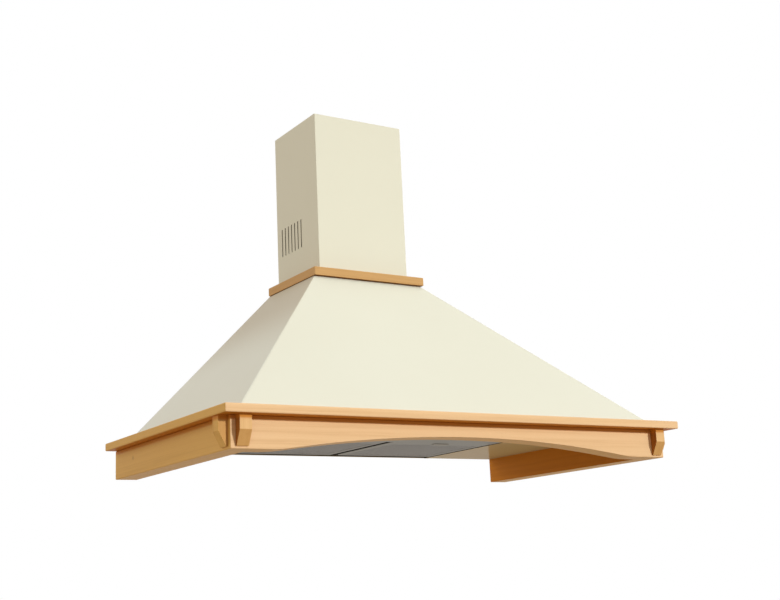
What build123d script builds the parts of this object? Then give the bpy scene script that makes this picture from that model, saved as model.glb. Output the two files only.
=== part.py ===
from build123d import *
import os
from math import cos, hypot, sin, sqrt

# Wall-mounted cooker hood: painted steel canopy and chimney cover in a beech frame.
# Millimetres. The origin lies on the wall, on the centre line, level with the moulding's underside.
# +X is to the right seen from the room, +Y goes into the wall, +Z is up.

# ---- wooden frame round the foot of the canopy ----
hood_width = 900.0
hood_depth = 500.0
moulding_height = 13.5
moulding_round = 2.0
moulding_overhang_side = 19.0
moulding_overhang_front = 25.0
apron_height = 50.0
apron_thickness = 38.0
apron_round = 1.5
arch_rise = 26.5
arch_half_span = 350.0
arch_end_blend = 300.0

# ---- corbels ----
corbel_width = 20.0
corbel_height = 46.0
corbel_upright = 23.0
corbel_projection = 15.0
corbel_foot = 3.0
corbel_inset = 8.5
corbel_round = 0.6
dowel_radius = 3.0
dowel_length = 22.0
dowel_depth = 9.0
dowel_drop = 8.0
dowel_pitch = 22.0

# ---- canopy ----
sheet = 1.0
back_sheet = 1.2
canopy_setback_side = 38.0
canopy_setback_front = 33.0
canopy_top_width = 235.0
canopy_top_depth = 180.0
canopy_rise = 296.0
canopy_rear_flange = 16.0
top_opening_width = 168.0
top_opening_depth = 150.0

# ---- chimney cover ----
chimney_width = 195.0
chimney_depth = 165.0
chimney_height = 327.0
chimney_fold_round = 1.5
chimney_return = 12.0
inner_chimney_drop = 3.0
vent_count = 7
vent_pitch = 13.0
vent_width = 4.5
vent_length = 56.0
vent_first_from_wall = 21.0
vent_foot_height = 77.0

# ---- wooden collar ----
collar_width = 22.5
collar_height = 16.0
collar_round = 1.2

# ---- wall fixings ----
hanging_hole_radius = 4.0
hanging_hole_spacing = 180.0
hanging_hole_height = 225.0
hanging_plate_size = 36.0
hanging_plate_thickness = 3.0
fixing_hole_radius = 3.0
fixing_hole_spacing = 660.0
fixing_hole_height = 45.0
bracket_height = 25.0
bracket_below_top = 12.0
bracket_arm = 31.0
bracket_hole_spacing = 120.0

# ---- underside pan ----
pan_drop = 2.0
pan_lap = 14.0
pan_rear_flange_height = 26.0
pan_screw_height = 18.0
pan_bead_width = 10.0
pan_bead_drop = 0.6
seal_depth = 17.0
seal_recess = 1.0

# ---- tee-shaped rail between and in front of the filters ----
rail_width = 12.0
rail_depth = 50.0
rail_lap = 8.0
rail_gap = 2.0

# ---- grease filters ----
filter_width = 214.0
filter_depth = 207.0
filter_thickness = 9.0
filter_gap = 2.5
filter_rear_gap = 5.0
filter_front_gap = 2.5
filter_bar = 12.0
filter_front_bar = 26.0
filter_round = 2.5
filter_mesh_thickness = 4.0
filter_mesh_recess = 0.5
hinge_pin_radius = 2.0
hinge_from_rear = 4.0
hinge_below_top = 2.5
ear_thickness = 1.5
ear_width = 10.0

# ---- filter latches ----
latch_width = 30.0
latch_tongue_thickness = 1.0
latch_tongue_length = 21.0
latch_engagement = 5.5
latch_travel = 7.0
latch_neck_width = 16.0
latch_neck_depth = 7.0
latch_handle_width = 32.0
latch_handle_depth = 13.0
latch_handle_thickness = 1.7

# ---- blower ----
blower_width = 140.0
blower_behind = 22.0
scroll_first_radius = 84.0
scroll_step = 10.0
scroll_centre_height = 150.0
blower_flange = 10.0
inlet_radius = 58.0
wheel_radius = 72.0
wheel_width = 124.0
wheel_plate = 1.5
wheel_rim = 9.0
blade_count = 24
blade_thickness = 1.0
blade_tilt = 30.0
hub_radius = 12.0
hub_length = 20.0
shaft_radius = 4.0
motor_radius = 42.0
motor_length = 64.0
motor_into_blower = 22.0
shaft_into_motor = 20.0
spider_ring = 3.0
spider_depth = 10.0
spider_arm_thickness = 3.0
spider_arm_width = 12.0
spider_reach = 70.0

# ---- outlet ----
plate_thickness = 1.0
spigot_radius = 60.0
spigot_height = 60.0
spigot_flange = 10.0
spigot_wall = 1.0
spigot_bore_step = 2.5
damper_height = 20.0
damper_pin_radius = 1.5
damper_knuckle_wall = 0.8
damper_sheet = 0.8
damper_edge_gap = 1.5
damper_centre_gap = 3.0
damper_knuckle_length = 30.0
damper_seat_width = 4.0
gland_bore_radius = 4.0
gland_neck_radius = 6.0
gland_nut_radius = 8.0
gland_nut_height = 3.0
gland_cap_height = 12.0
gland_from_centre = 70.0
gland_from_wall = 14.0

# ---- lamps ----
lamp_spacing = 500.0
lamp_from_wall = 350.0
lamp_radius = 32.0
lamp_flange = 5.0
lamp_flange_thickness = 2.0
lamp_height = 27.0
lamp_wall = 1.0
lens_radius = 28.8
lens_thickness = 2.0
lens_recess = 0.5
lens_seat = 2.0
bulb_radius = 6.0
bulb_base_radius = 10.0
bulb_base_height = 8.0
bulb_height = 20.0

# ---- switch block ----
button_count = 5
button_pitch = 24.0
button_radius = 7.0
button_collar = 1.5
button_collar_height = 3.0
button_spring_room = 3.0
button_stand_out = 4.0
button_travel = 3.0
switch_from_wall = 350.0
switch_length = 124.0
switch_depth = 30.0
switch_height = 20.0
switch_rim = 9.0
switch_rim_thickness = 1.5

# ---- terminal box ----
terminal_width = 90.0
terminal_height = 60.0
terminal_depth = 38.0
terminal_from_centre = 260.0
terminal_foot_height = 45.0
terminal_round = 3.0

# ---- fasteners ----
frame_screw_radius = 2.0
frame_screw_head = 4.0
frame_screw_head_height = 2.4
frame_screw_length = 35.0
frame_screw_side_count = 4
frame_screw_front_count = 5
frame_screw_end_margin = 55.0
collar_screw_radius = 1.75
collar_screw_head = 3.5
collar_screw_head_height = 2.0
collar_screw_length = 12.0
machine_screw_radius = 2.0
machine_screw_head = 3.6
machine_screw_head_height = 2.2
machine_screw_length = 8.0

# ---- clearances ----
seat_gap = 0.3
slide_gap = 0.3
running_gap = 0.08
screw_gap = 0.2
wood_pin_gap = 0.05

# ---- places worked out from the sizes above ----
apron_half = hood_width / 2 - moulding_overhang_side
apron_front = hood_depth - moulding_overhang_front
inner_half = apron_half - apron_thickness
inner_front = apron_front - apron_thickness
canopy_foot = moulding_height
canopy_foot_width = hood_width - 2 * canopy_setback_side
canopy_foot_depth = hood_depth - canopy_setback_front
canopy_top = canopy_foot + canopy_rise
foot_half = canopy_foot_width / 2
top_half = canopy_top_width / 2
front_run = canopy_foot_depth - canopy_top_depth
side_run = foot_half - top_half
front_shift = sheet * hypot(front_run, canopy_rise) / canopy_rise
side_shift = sheet * hypot(side_run, canopy_rise) / canopy_rise

pan_half = inner_half - seat_gap
pan_front = inner_front - seat_gap
pan_flange_top = canopy_foot + 2 * sheet
frame_screw_line = inner_half + pan_lap / 2 + 1
frame_screw_front = inner_front + pan_lap / 2 + 1

pan_low = -pan_drop
pan_top = pan_low + sheet
filter_inner = rail_width / 2 + filter_gap
filter_outer = filter_inner + filter_width
filter_top = pan_low + filter_thickness
seal_front = back_sheet + seal_depth
filter_rear = seal_front + filter_rear_gap
filter_front = filter_rear + filter_depth
opening_half = filter_outer + filter_gap
opening_front = filter_front + filter_front_gap
rail_front = opening_front + rail_depth
rail_top = pan_top + sheet
ledge_top = filter_top + sheet
hinge_y = -(filter_rear + hinge_from_rear)
hinge_z = filter_top - hinge_below_top

chimney_half = chimney_width / 2
chimney_top = canopy_top + chimney_height
inner_chimney_half = chimney_half - sheet - slide_gap
inner_chimney_front = chimney_depth - sheet - slide_gap
plate_half = inner_chimney_half - sheet - slide_gap
plate_front = inner_chimney_front - sheet - slide_gap
plate_top = canopy_top + plate_thickness

scroll_rear = back_sheet + blower_behind
scroll_last_radius = scroll_first_radius + 2 * scroll_step
scroll_y = -(scroll_rear + scroll_last_radius + scroll_step)
wheel_y = scroll_y + scroll_step / 2
wheel_z = scroll_centre_height + scroll_step / 2
outlet_y = (scroll_y - scroll_rear) / 2
blower_half = blower_width / 2

damper_z = plate_top + damper_height
knuckle_radius = damper_pin_radius + running_gap + damper_knuckle_wall
motor_end = -(blower_half - motor_into_blower)

bracket_top = chimney_top - bracket_below_top


# ---- building helpers ----
def block(x0, x1, y0, y1, z0, z1):
    """A block between two opposite corners."""
    centre = Pos((x0 + x1) / 2, (y0 + y1) / 2, (z0 + z1) / 2)
    return centre * Box(abs(x1 - x0), abs(y1 - y0), abs(z1 - z0))


def rod(radius, start, direction, length):
    """A round bar from a start point along a direction."""
    frame = Plane(origin=start, z_dir=direction)
    return frame * Cylinder(radius, length, align=(Align.CENTER, Align.CENTER, Align.MIN))


def plan_prism(points, z0, z1):
    """An upright prism over an outline drawn in plan."""
    outline = make_face(Polyline(*points, close=True))
    return Pos(0, 0, z0) * extrude(outline, z1 - z0)


def side_prism(points, half_width):
    """A prism along X over an outline of (y, z) points."""
    outline = make_face(Polyline(*points, close=True))
    return extrude(Plane.YZ * outline, half_width, both=True)


def front_prism(points, y0, y1):
    """A prism along Y over an outline of (x, z) points."""
    outline = make_face(Polyline(*points, close=True))
    return Pos(0, y1, 0) * extrude(Plane.XZ * outline, y1 - y0)


def mirrored(piece):
    """The same piece on the other side of the centre line."""
    return mirror(piece, about=Plane.YZ)


def edges_between(piece, low, high):
    """Edges whose middle lies inside a box."""
    found = []
    for edge in piece.edges():
        middle = edge.position_at(0.5)
        inside = low[0] <= middle.X <= high[0] and low[1] <= middle.Y <= high[1]
        if inside and low[2] <= middle.Z <= high[2]:
            found.append(edge)
    return found


# ---- wooden frame ----
def three_sided_ring(outer_half, outer_front, ring_inner_half, ring_inner_front, z0, z1, rounding):
    """A frame open at the wall, with its outer edges eased."""
    outer = block(-outer_half, outer_half, -outer_front, 0, z0, z1)
    outer = fillet(outer.edges().filter_by(Axis.Z).group_by(Axis.Y)[0], rounding)
    outer = fillet(outer.faces().sort_by(Axis.Z)[0].edges(), rounding)
    outer = fillet(outer.faces().sort_by(Axis.Z)[-1].edges(), rounding)
    hollow = block(-ring_inner_half, ring_inner_half, -ring_inner_front, outer_front, z0 - 1, z1 + 1)
    return outer - hollow


def mitred(ring, outer_half, outer_front, ring_inner_half, ring_inner_front, z0, z1):
    """Cuts a three-sided ring at its front corners into front, left and right strips."""
    reach = 1.3
    far_x = ring_inner_half + reach * (outer_half - ring_inner_half)
    far_y = ring_inner_front + reach * (outer_front - ring_inner_front)
    corners = [
        (-ring_inner_half, -ring_inner_front),
        (-far_x, -far_y),
        (far_x, -far_y),
        (ring_inner_half, -ring_inner_front),
    ]
    wedge = plan_prism(corners, z0 - 1, z1 + 1)
    right_side = block(0, 2 * outer_half, -2 * outer_front, 1, z0 - 1, z1 + 1)
    right = (ring - wedge) & right_side
    return ring & wedge, mirrored(right), right


def frame_screw_places():
    """Places of the screws that hold steel, moulding and apron together, at the flange top."""
    places = []
    run = inner_front - 2 * frame_screw_end_margin
    for index in range(frame_screw_side_count):
        y = -(frame_screw_end_margin + run * index / (frame_screw_side_count - 1))
        places.append((-frame_screw_line, y, pan_flange_top))
        places.append((frame_screw_line, y, pan_flange_top))
    half_run = inner_half - frame_screw_end_margin
    for index in range(frame_screw_front_count):
        x = half_run * (2 * index / (frame_screw_front_count - 1) - 1)
        places.append((x, -frame_screw_front, pan_flange_top))
    return places


def frame_screw_holes(clearance):
    """Straight holes for the frame screws."""
    depth = frame_screw_length + clearance
    return [rod(frame_screw_radius + clearance, p, (0, 0, -1), depth) for p in frame_screw_places()]


def frame_screws():
    """Wood screws, driven down from inside the canopy."""
    screws = []
    for place in frame_screw_places():
        shank = rod(frame_screw_radius, place, (0, 0, -1), frame_screw_length)
        head = rod(frame_screw_head, place, (0, 0, 1), frame_screw_head_height)
        screws.append(shank + head)
    return screws


def mouldings():
    """The projecting strip on top of the aprons: front, left and right."""
    half = hood_width / 2
    ring = three_sided_ring(half, hood_depth, inner_half, inner_front, 0, moulding_height, moulding_round)
    ring = ring - frame_screw_holes(wood_pin_gap)
    return mitred(ring, half, hood_depth, inner_half, inner_front, 0, moulding_height)


def arch_outline():
    """The arch as a face in the XZ plane: one long arc that eases into the flat at each end."""
    radius = (arch_half_span ** 2 + arch_rise ** 2) / (2 * arch_rise)
    foot = -apron_height
    centre_z = foot + arch_rise - radius
    blend_x = sqrt(arch_rise * (2 * (radius + arch_end_blend) - arch_rise))
    share = radius / (radius + arch_end_blend)
    meet_x = share * blend_x
    meet_z = centre_z + share * (foot + arch_end_blend - centre_z)
    half_turn = (blend_x / (radius + arch_end_blend)) / 2
    ease_x = blend_x - arch_end_blend * sin(half_turn)
    ease_z = foot + arch_end_blend * (1 - cos(half_turn))
    below = foot - arch_rise
    lines = [
        ThreePointArc((-blend_x, foot), (-ease_x, ease_z), (-meet_x, meet_z)),
        ThreePointArc((-meet_x, meet_z), (0, foot + arch_rise), (meet_x, meet_z)),
        ThreePointArc((meet_x, meet_z), (ease_x, ease_z), (blend_x, foot)),
        Polyline((blend_x, foot), (blend_x, below), (-blend_x, below), (-blend_x, foot)),
    ]
    return make_face(lines)


def aprons():
    """The upright boards under the moulding: arched front, left and right."""
    ring = three_sided_ring(
        apron_half, apron_front, inner_half, inner_front, -apron_height, 0, apron_round)
    ring = ring - frame_screw_holes(wood_pin_gap) - corbel_dowel_bars(wood_pin_gap)
    front, left, right = mitred(
        ring, apron_half, apron_front, inner_half, inner_front, -apron_height, 0)
    arch = Pos(0, -inner_front + 1, 0) * extrude(Plane.XZ * arch_outline(), apron_thickness + 2)
    return front - arch, left, right


# ---- corbels ----
def corbel():
    """One corbel, standing out towards -Y from the origin, its top at z = 0."""
    profile = [
        (0, 0),
        (-corbel_projection, 0),
        (-corbel_projection, -corbel_upright),
        (-corbel_foot, -corbel_height),
        (0, -corbel_height),
    ]
    piece = side_prism(profile, corbel_width / 2)
    face_edges = edges_between(
        piece, (-corbel_width, -corbel_projection - 1, -corbel_height + 1),
        (corbel_width, -corbel_foot / 2, -1))
    return fillet([e for e in face_edges if abs((e @ 0).X - (e @ 1).X) < 1], corbel_round)


def corbel_places():
    """Named places of the four corbels, each a location on the face of its apron."""
    along = corbel_inset + corbel_width / 2
    return {
        "corbel_front_left": Pos(-(apron_half - along), -apron_front, 0),
        "corbel_front_right": Pos(apron_half - along, -apron_front, 0),
        "corbel_side_left": Pos(-apron_half, -(apron_front - along), 0) * Rot(0, 0, -90),
        "corbel_side_right": Pos(apron_half, -(apron_front - along), 0) * Rot(0, 0, 90),
    }


def corbel_dowel_bars(clearance):
    """Two dowels behind each corbel, part in the corbel and part in the apron."""
    bars = []
    start_y = -dowel_depth - clearance
    for place in corbel_places().values():
        for drop in (dowel_drop, dowel_drop + dowel_pitch):
            bar = rod(dowel_radius + clearance, (0, start_y, -drop), (0, 1, 0),
                      dowel_length + 2 * clearance)
            bars.append(place * bar)
    return bars


def corbels():
    """The four corbels with their dowel holes."""
    holes = corbel_dowel_bars(wood_pin_gap)
    return {name: place * corbel() - holes for name, place in corbel_places().items()}


# ---- canopy ----
def frustum(half_cut, front_cut):
    """The canopy's outer form, drawn in from its sides and front by level distances."""
    side_view = [
        (-back_sheet, canopy_foot),
        (-(canopy_foot_depth - front_cut), canopy_foot),
        (-(canopy_top_depth - front_cut), canopy_top),
        (-back_sheet, canopy_top),
    ]
    front_view = [
        (-(foot_half - half_cut), canopy_foot),
        (foot_half - half_cut, canopy_foot),
        (top_half - half_cut, canopy_top),
        (-(top_half - half_cut), canopy_top),
    ]
    return side_prism(side_view, foot_half) & front_prism(front_view, -canopy_foot_depth, 0)


def level_slab(z0, z1):
    """Everything over the hood's plan between two heights."""
    return block(-hood_width, hood_width, -hood_depth, 0, z0, z1)


def canopy_panels():
    """Front, left and right canopy sheets with their foot, top and rear flanges."""
    outer = frustum(0, 0)
    behind_front = frustum(0, front_shift)
    hollow = frustum(side_shift, front_shift)
    foot_ring = hollow & level_slab(canopy_foot, canopy_foot + sheet)
    foot_ring = foot_ring - block(-inner_half, inner_half, -inner_front, 0, 0, canopy_top)
    top_ring = hollow & level_slab(canopy_top - sheet, canopy_top)
    top_ring = top_ring - block(-top_opening_width / 2, top_opening_width / 2,
                                -top_opening_depth, 0, canopy_foot, canopy_top + 1)
    rear_strip = hollow - frustum(side_shift + canopy_rear_flange, front_shift)
    rear_strip = rear_strip & block(-foot_half, foot_half, -(back_sheet + sheet), -back_sheet,
                                    canopy_foot, canopy_top)
    ahead_of_foot = block(-foot_half, foot_half, -canopy_foot_depth, -inner_front, 0, canopy_top)
    ahead_of_top = block(-top_half, top_half, -canopy_top_depth, -top_opening_depth, 0, canopy_top)
    front = (outer - behind_front) + (foot_ring & ahead_of_foot) + (top_ring & ahead_of_top)
    sides = (behind_front - hollow) + (foot_ring - ahead_of_foot) + (top_ring - ahead_of_top)
    sides = sides + rear_strip
    holes = frame_screw_holes(screw_gap) + collar_screw_holes(screw_gap) + machine_screw_holes()
    right = (sides & block(0, foot_half, -canopy_foot_depth, 0, 0, canopy_top)) - holes
    left = (sides & block(-foot_half, 0, -canopy_foot_depth, 0, 0, canopy_top)) - holes
    return front - holes, left, right


def back_panel():
    """Flat sheet against the wall with hanging holes and lower fixing holes."""
    outline = [
        (-pan_half, pan_low),
        (pan_half, pan_low),
        (pan_half, canopy_foot),
        (foot_half, canopy_foot),
        (top_half, canopy_top),
        (-top_half, canopy_top),
        (-foot_half, canopy_foot),
        (-pan_half, canopy_foot),
    ]
    panel = front_prism(outline, -back_sheet, 0)
    holes = wall_holes(hanging_hole_radius, hanging_hole_spacing, hanging_hole_height)
    holes += wall_holes(fixing_hole_radius, fixing_hole_spacing, fixing_hole_height)
    return panel - holes - machine_screw_holes()


def wall_holes(radius, spacing, height):
    """A level pair of holes through everything near the wall."""
    return [rod(radius, (side * spacing / 2, 1, height), (0, -1, 0), 10) for side in (-1, 1)]


def hanging_plates():
    """Doubler plates behind the hanging holes, welded to the back panel."""
    half = hanging_plate_size / 2
    front = -(back_sheet + hanging_plate_thickness)
    plates = []
    for side in (-1, 1):
        x = side * hanging_hole_spacing / 2
        plates.append(block(x - half, x + half, front, -back_sheet,
                            hanging_hole_height - half, hanging_hole_height + half))
    holes = wall_holes(hanging_hole_radius, hanging_hole_spacing, hanging_hole_height)
    return [plate - holes for plate in plates]


# ---- underside pan ----
def hinge_ear():
    """Ear on the pan beyond the right-hand filter, for its outer hinge pin."""
    x = opening_half + seat_gap
    ear = block(x, x + ear_thickness, hinge_y - ear_width / 2, hinge_y + ear_width / 2,
                pan_top, hinge_z + ear_width / 2)
    bore = rod(hinge_pin_radius + running_gap, (x - 1, hinge_y, hinge_z), (1, 0, 0), ear_thickness + 2)
    return ear - bore


def underside_pan():
    """Shallow tray that closes the canopy from below, open for filters, lamps and switches."""
    flange_half = inner_half + pan_lap
    flange_front = inner_front + pan_lap
    side_end = -(back_sheet + sheet + seat_gap)
    pan = block(-pan_half, pan_half, -pan_front, -back_sheet, pan_low, pan_top)
    wall = block(-pan_half, pan_half, -pan_front, side_end, pan_low, pan_flange_top)
    hollow = block(-(pan_half - sheet), pan_half - sheet, -(pan_front - sheet), 0,
                   pan_low, pan_flange_top + 1)
    flange = block(-flange_half, flange_half, -flange_front, side_end, canopy_foot + sheet, pan_flange_top)
    rear_half = pan_half - canopy_rear_flange
    rear = block(-rear_half, rear_half, -(back_sheet + sheet), -back_sheet, pan_low, pan_rear_flange_height)
    ledge = block(-opening_half, opening_half, -seal_front, -back_sheet, filter_top, ledge_top)
    bead_half = opening_half + pan_bead_width
    bead_front = rail_front + rail_gap + pan_bead_width
    bead = block(-bead_half, bead_half, -bead_front, side_end, pan_low - pan_bead_drop, pan_low)
    pan = pan + (wall - hollow) + (flange - hollow) + rear + bead
    pan = pan - block(-opening_half, opening_half, -(rail_front + rail_gap), -(back_sheet + sheet),
                      pan_low - 1, pan_top + 1)
    pan = pan + ledge + hinge_ear() + mirrored(hinge_ear())
    for x in (-lamp_spacing / 2, lamp_spacing / 2):
        pan = pan - rod(lamp_radius + seat_gap, (x, -lamp_from_wall, pan_low - 1), (0, 0, 1), sheet + 2)
    half_length = switch_length / 2 + seat_gap
    half_depth = switch_depth / 2 + seat_gap
    pan = pan - block(-half_length, half_length, -switch_from_wall - half_depth,
                      -switch_from_wall + half_depth, pan_low - 1, pan_top + 1)
    return pan - frame_screw_holes(screw_gap) - machine_screw_holes()


def rear_seal():
    """Dark rubber strip under the pan's rear ledge, behind the filters."""
    return block(-opening_half, opening_half, -seal_front, -(back_sheet + sheet),
                 pan_low + seal_recess, filter_top)


def filter_rail():
    """Tee of folded steel: a strip in front of the filters and a channel between them."""
    half = rail_width / 2
    strip = block(-(opening_half - rail_gap), opening_half - rail_gap, -rail_front, -opening_front,
                  pan_low, pan_top)
    lap = block(-(opening_half + rail_lap), opening_half + rail_lap,
                -(rail_front + rail_gap + rail_lap), -opening_front, pan_top, rail_top)
    wall = block(-half, half, -(opening_front + rail_lap), -(seal_front + seat_gap), pan_top, ledge_top)
    wall = wall - block(-(half - sheet), half - sheet, -opening_front, 0, pan_low, ledge_top)
    web = block(-half, half, -(opening_front + rail_lap), -(back_sheet + sheet + seat_gap),
                ledge_top, ledge_top + sheet)
    pin_hole = rod(hinge_pin_radius + running_gap, (-rail_width, hinge_y, hinge_z), (1, 0, 0),
                   2 * rail_width)
    return strip + lap + wall + web - pin_hole


# ---- grease filters ----
def filter_frame():
    """Right-hand filter frame with its hinge pins and the latch pocket in its front bar."""
    frame = block(filter_inner, filter_outer, -filter_front, -filter_rear, pan_low, filter_top)
    frame = fillet(frame.edges().filter_by(Axis.Z), filter_round)
    frame = fillet(frame.faces().sort_by(Axis.Z)[0].edges(), filter_round / 2)
    frame = frame - block(filter_inner + filter_bar, filter_outer - filter_bar,
                          -(filter_front - filter_front_bar), -(filter_rear + filter_bar),
                          pan_low - 1, filter_top + 1)
    outer_reach = filter_gap + 2 * seat_gap + ear_thickness
    inner_reach = filter_gap + sheet + seat_gap
    outer_pin = rod(hinge_pin_radius, (filter_outer - 1, hinge_y, hinge_z), (1, 0, 0), outer_reach + 1)
    inner_pin = rod(hinge_pin_radius, (filter_inner + 1, hinge_y, hinge_z), (-1, 0, 0), inner_reach + 1)
    return frame + outer_pin + inner_pin - latch_pocket()


def filter_mesh():
    """Right-hand mesh pack, held in the frame's window."""
    z0 = pan_low + filter_mesh_recess
    return block(filter_inner + filter_bar, filter_outer - filter_bar,
                 -(filter_front - filter_front_bar), -(filter_rear + filter_bar),
                 z0, z0 + filter_mesh_thickness)


def latch_middle():
    """Centre of the right-hand filter, where its latch lies."""
    return (filter_inner + filter_outer) / 2


def latch_pocket():
    """Room for the tongue and for the neck of the handle through the whole travel."""
    x = latch_middle()
    tongue_tail = -(opening_front + latch_engagement) + latch_tongue_length
    half = latch_width / 2 + seat_gap
    pocket = block(x - half, x + half, -filter_front - 1, tongue_tail + latch_travel + seat_gap,
                   rail_top, rail_top + latch_tongue_thickness + 2 * seat_gap)
    neck_half = latch_neck_width / 2 + seat_gap
    neck_room = block(x - neck_half, x + neck_half,
                      tongue_tail - latch_neck_depth - seat_gap,
                      tongue_tail + latch_travel + seat_gap,
                      pan_low - 1, rail_top + seat_gap)
    return pocket + neck_room


def latch_tongue():
    """Spring-steel tongue that lies over the rail's rear edge."""
    x = latch_middle()
    tip = -(opening_front + latch_engagement)
    z0 = rail_top + seat_gap
    return block(x - latch_width / 2, x + latch_width / 2, tip, tip + latch_tongue_length,
                 z0, z0 + latch_tongue_thickness)


def latch_handle():
    """Finger plate under the frame, with a neck up to the tongue."""
    x = latch_middle()
    tail = -(opening_front + latch_engagement) + latch_tongue_length
    top = pan_low - seat_gap
    neck = block(x - latch_neck_width / 2, x + latch_neck_width / 2, tail - latch_neck_depth, tail,
                 top, rail_top + seat_gap)
    middle_y = tail - latch_neck_depth / 2
    plate = block(x - latch_handle_width / 2, x + latch_handle_width / 2,
                  middle_y - latch_handle_depth / 2, middle_y + latch_handle_depth / 2,
                  top - latch_handle_thickness, top)
    plate = fillet(plate.edges().filter_by(Axis.Z), filter_round)
    plate = fillet(plate.faces().sort_by(Axis.Z)[0].edges(), 1.0)
    return plate + neck


# ---- chimney cover ----
def channel(half, front, thickness, rear, z0, z1):
    """A sheet channel open towards the wall."""
    solid = block(-half, half, -front, rear, z0, z1)
    solid = fillet(solid.edges().filter_by(Axis.Z).group_by(Axis.Y)[0], chimney_fold_round)
    return solid - block(-(half - thickness), half - thickness, -(front - thickness), 1, z0 - 1, z1 + 1)


def vent_slots():
    """Upright rounded slots through both sides, low down and near the wall."""
    slots = []
    foot = canopy_top + vent_foot_height
    end = vent_width / 2
    for index in range(vent_count):
        y = -(vent_first_from_wall + index * vent_pitch)
        slot = block(-chimney_width, chimney_width, y - end, y + end, foot + end, foot + vent_length - end)
        for z in (foot + end, foot + vent_length - end):
            slot = slot + rod(end, (-chimney_width, y, z), (1, 0, 0), 2 * chimney_width)
        slots.append(slot)
    return slots


def chimney_outer():
    """Fixed lower cover, with returns against the wall and the vent slots."""
    cover = channel(chimney_half, chimney_depth, sheet, 0, canopy_top, chimney_top)
    for side in (-1, 1):
        outer = side * (chimney_half - sheet / 2)
        inner = side * (chimney_half - chimney_return)
        cover = cover + block(min(outer, inner), max(outer, inner), -sheet, 0, canopy_top, chimney_top)
    return cover - vent_slots()


def chimney_inner():
    """Telescoping upper cover, nested inside the lower one."""
    rear = -(sheet + slide_gap)
    return channel(inner_chimney_half, inner_chimney_front, sheet, rear,
                   canopy_top + seat_gap, chimney_top - inner_chimney_drop)


def chimney_wall_bracket():
    """Wall strip with two forward arms inside the inner cover."""
    half = plate_half
    low = bracket_top - bracket_height
    strip = block(-half, half, -2 * sheet, -sheet, low, bracket_top)
    for side in (-1, 1):
        outer = side * half
        inner = side * (half - sheet)
        strip = strip + block(min(outer, inner), max(outer, inner), -bracket_arm, -sheet, low, bracket_top)
    middle = bracket_top - bracket_height / 2
    return strip - wall_holes(fixing_hole_radius, bracket_hole_spacing, middle)


# ---- wooden collar ----
def collars():
    """The three strips round the foot of the chimney."""
    inner = chimney_half + screw_gap
    inner_depth = chimney_depth + screw_gap
    outer = inner + collar_width
    outer_depth = inner_depth + collar_width
    top = canopy_top + collar_height
    ring = three_sided_ring(outer, outer_depth, inner, inner_depth, canopy_top, top, collar_round)
    ring = ring - collar_screw_holes(wood_pin_gap)
    return mitred(ring, outer, outer_depth, inner, inner_depth, canopy_top, top)


def collar_screw_places():
    """Places of the collar screws under the canopy's top flange."""
    z = canopy_top - sheet
    line = (chimney_half + top_half) / 2
    front = (chimney_depth + canopy_top_depth) / 2
    places = [(side * line, -chimney_depth * share, z) for side in (-1, 1) for share in (0.25, 0.75)]
    return places + [(side * chimney_half * 0.6, -front, z) for side in (-1, 0, 1)]


def collar_screw_holes(clearance):
    """Straight holes for the collar screws."""
    depth = collar_screw_length + clearance
    return [rod(collar_screw_radius + clearance, p, (0, 0, 1), depth) for p in collar_screw_places()]


def collar_screws():
    """Wood screws, driven up from inside the canopy."""
    screws = []
    for place in collar_screw_places():
        shank = rod(collar_screw_radius, place, (0, 0, 1), collar_screw_length)
        head = rod(collar_screw_head, place, (0, 0, -1), collar_screw_head_height)
        screws.append(shank + head)
    return screws


# ---- machine screws for plates and flanges ----
def machine_screw_places():
    """Head seat and driving direction of each machine screw."""
    places = []
    seat_line = (top_opening_width / 2 + plate_half) / 2
    flange_line = blower_half + blower_flange / 2
    run = -scroll_y - scroll_rear
    for side in (-1, 1):
        for share in (0.25, 0.75):
            places.append(((side * seat_line, -plate_front * share, plate_top), (0, 0, -1)))
            y = -(scroll_rear + run * share)
            places.append(((side * flange_line, y, plate_top), (0, 0, -1)))
            x = side * pan_half * share
            places.append(((x, -(back_sheet + sheet), pan_screw_height), (0, 1, 0)))
    return places


def machine_screw_holes():
    """Clearance holes for the machine screws."""
    radius = machine_screw_radius + screw_gap
    return [rod(radius, seat, way, machine_screw_length) for seat, way in machine_screw_places()]


def plate_screws():
    """Pan-head machine screws; the ones at the wall are cut flush with it."""
    screws = []
    for seat, way in machine_screw_places():
        length = machine_screw_length if way[2] else back_sheet + sheet
        back = (-way[0], -way[1], -way[2])
        shank = rod(machine_screw_radius, seat, way, length)
        screws.append(shank + rod(machine_screw_head, seat, back, machine_screw_head_height))
    return screws


# ---- blower ----
def scroll_face(inset):
    """Scroll and throat outline in the YZ plane, three quarter arcs that grow towards the outlet."""
    y1 = scroll_y
    z1 = scroll_centre_height
    first = scroll_first_radius - inset
    second = scroll_first_radius + scroll_step - inset
    third = scroll_last_radius - inset
    slant = sqrt(0.5)
    start = (y1 + inset, z1 + sqrt(first ** 2 - inset ** 2))
    y2 = y1 + scroll_step
    z3 = z1 + scroll_step
    top = canopy_top
    lines = [
        ThreePointArc(start, (y1 - first * slant, z1 + first * slant), (y1 - first, z1)),
        ThreePointArc((y1 - first, z1), (y2 - second * slant, z1 - second * slant), (y2, z1 - second)),
        ThreePointArc((y2, z1 - second), (y2 + third * slant, z3 - third * slant), (y2 + third, z3)),
        Polyline((y2 + third, z3), (y2 + third, top), (y1 + inset, top), start),
    ]
    return Plane.YZ * make_face(lines)


def blower_scroll():
    """Wrapped strip between the two side plates."""
    half = blower_half - sheet
    return extrude(scroll_face(0), half, both=True) - extrude(scroll_face(sheet), half + 1, both=True)


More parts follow.
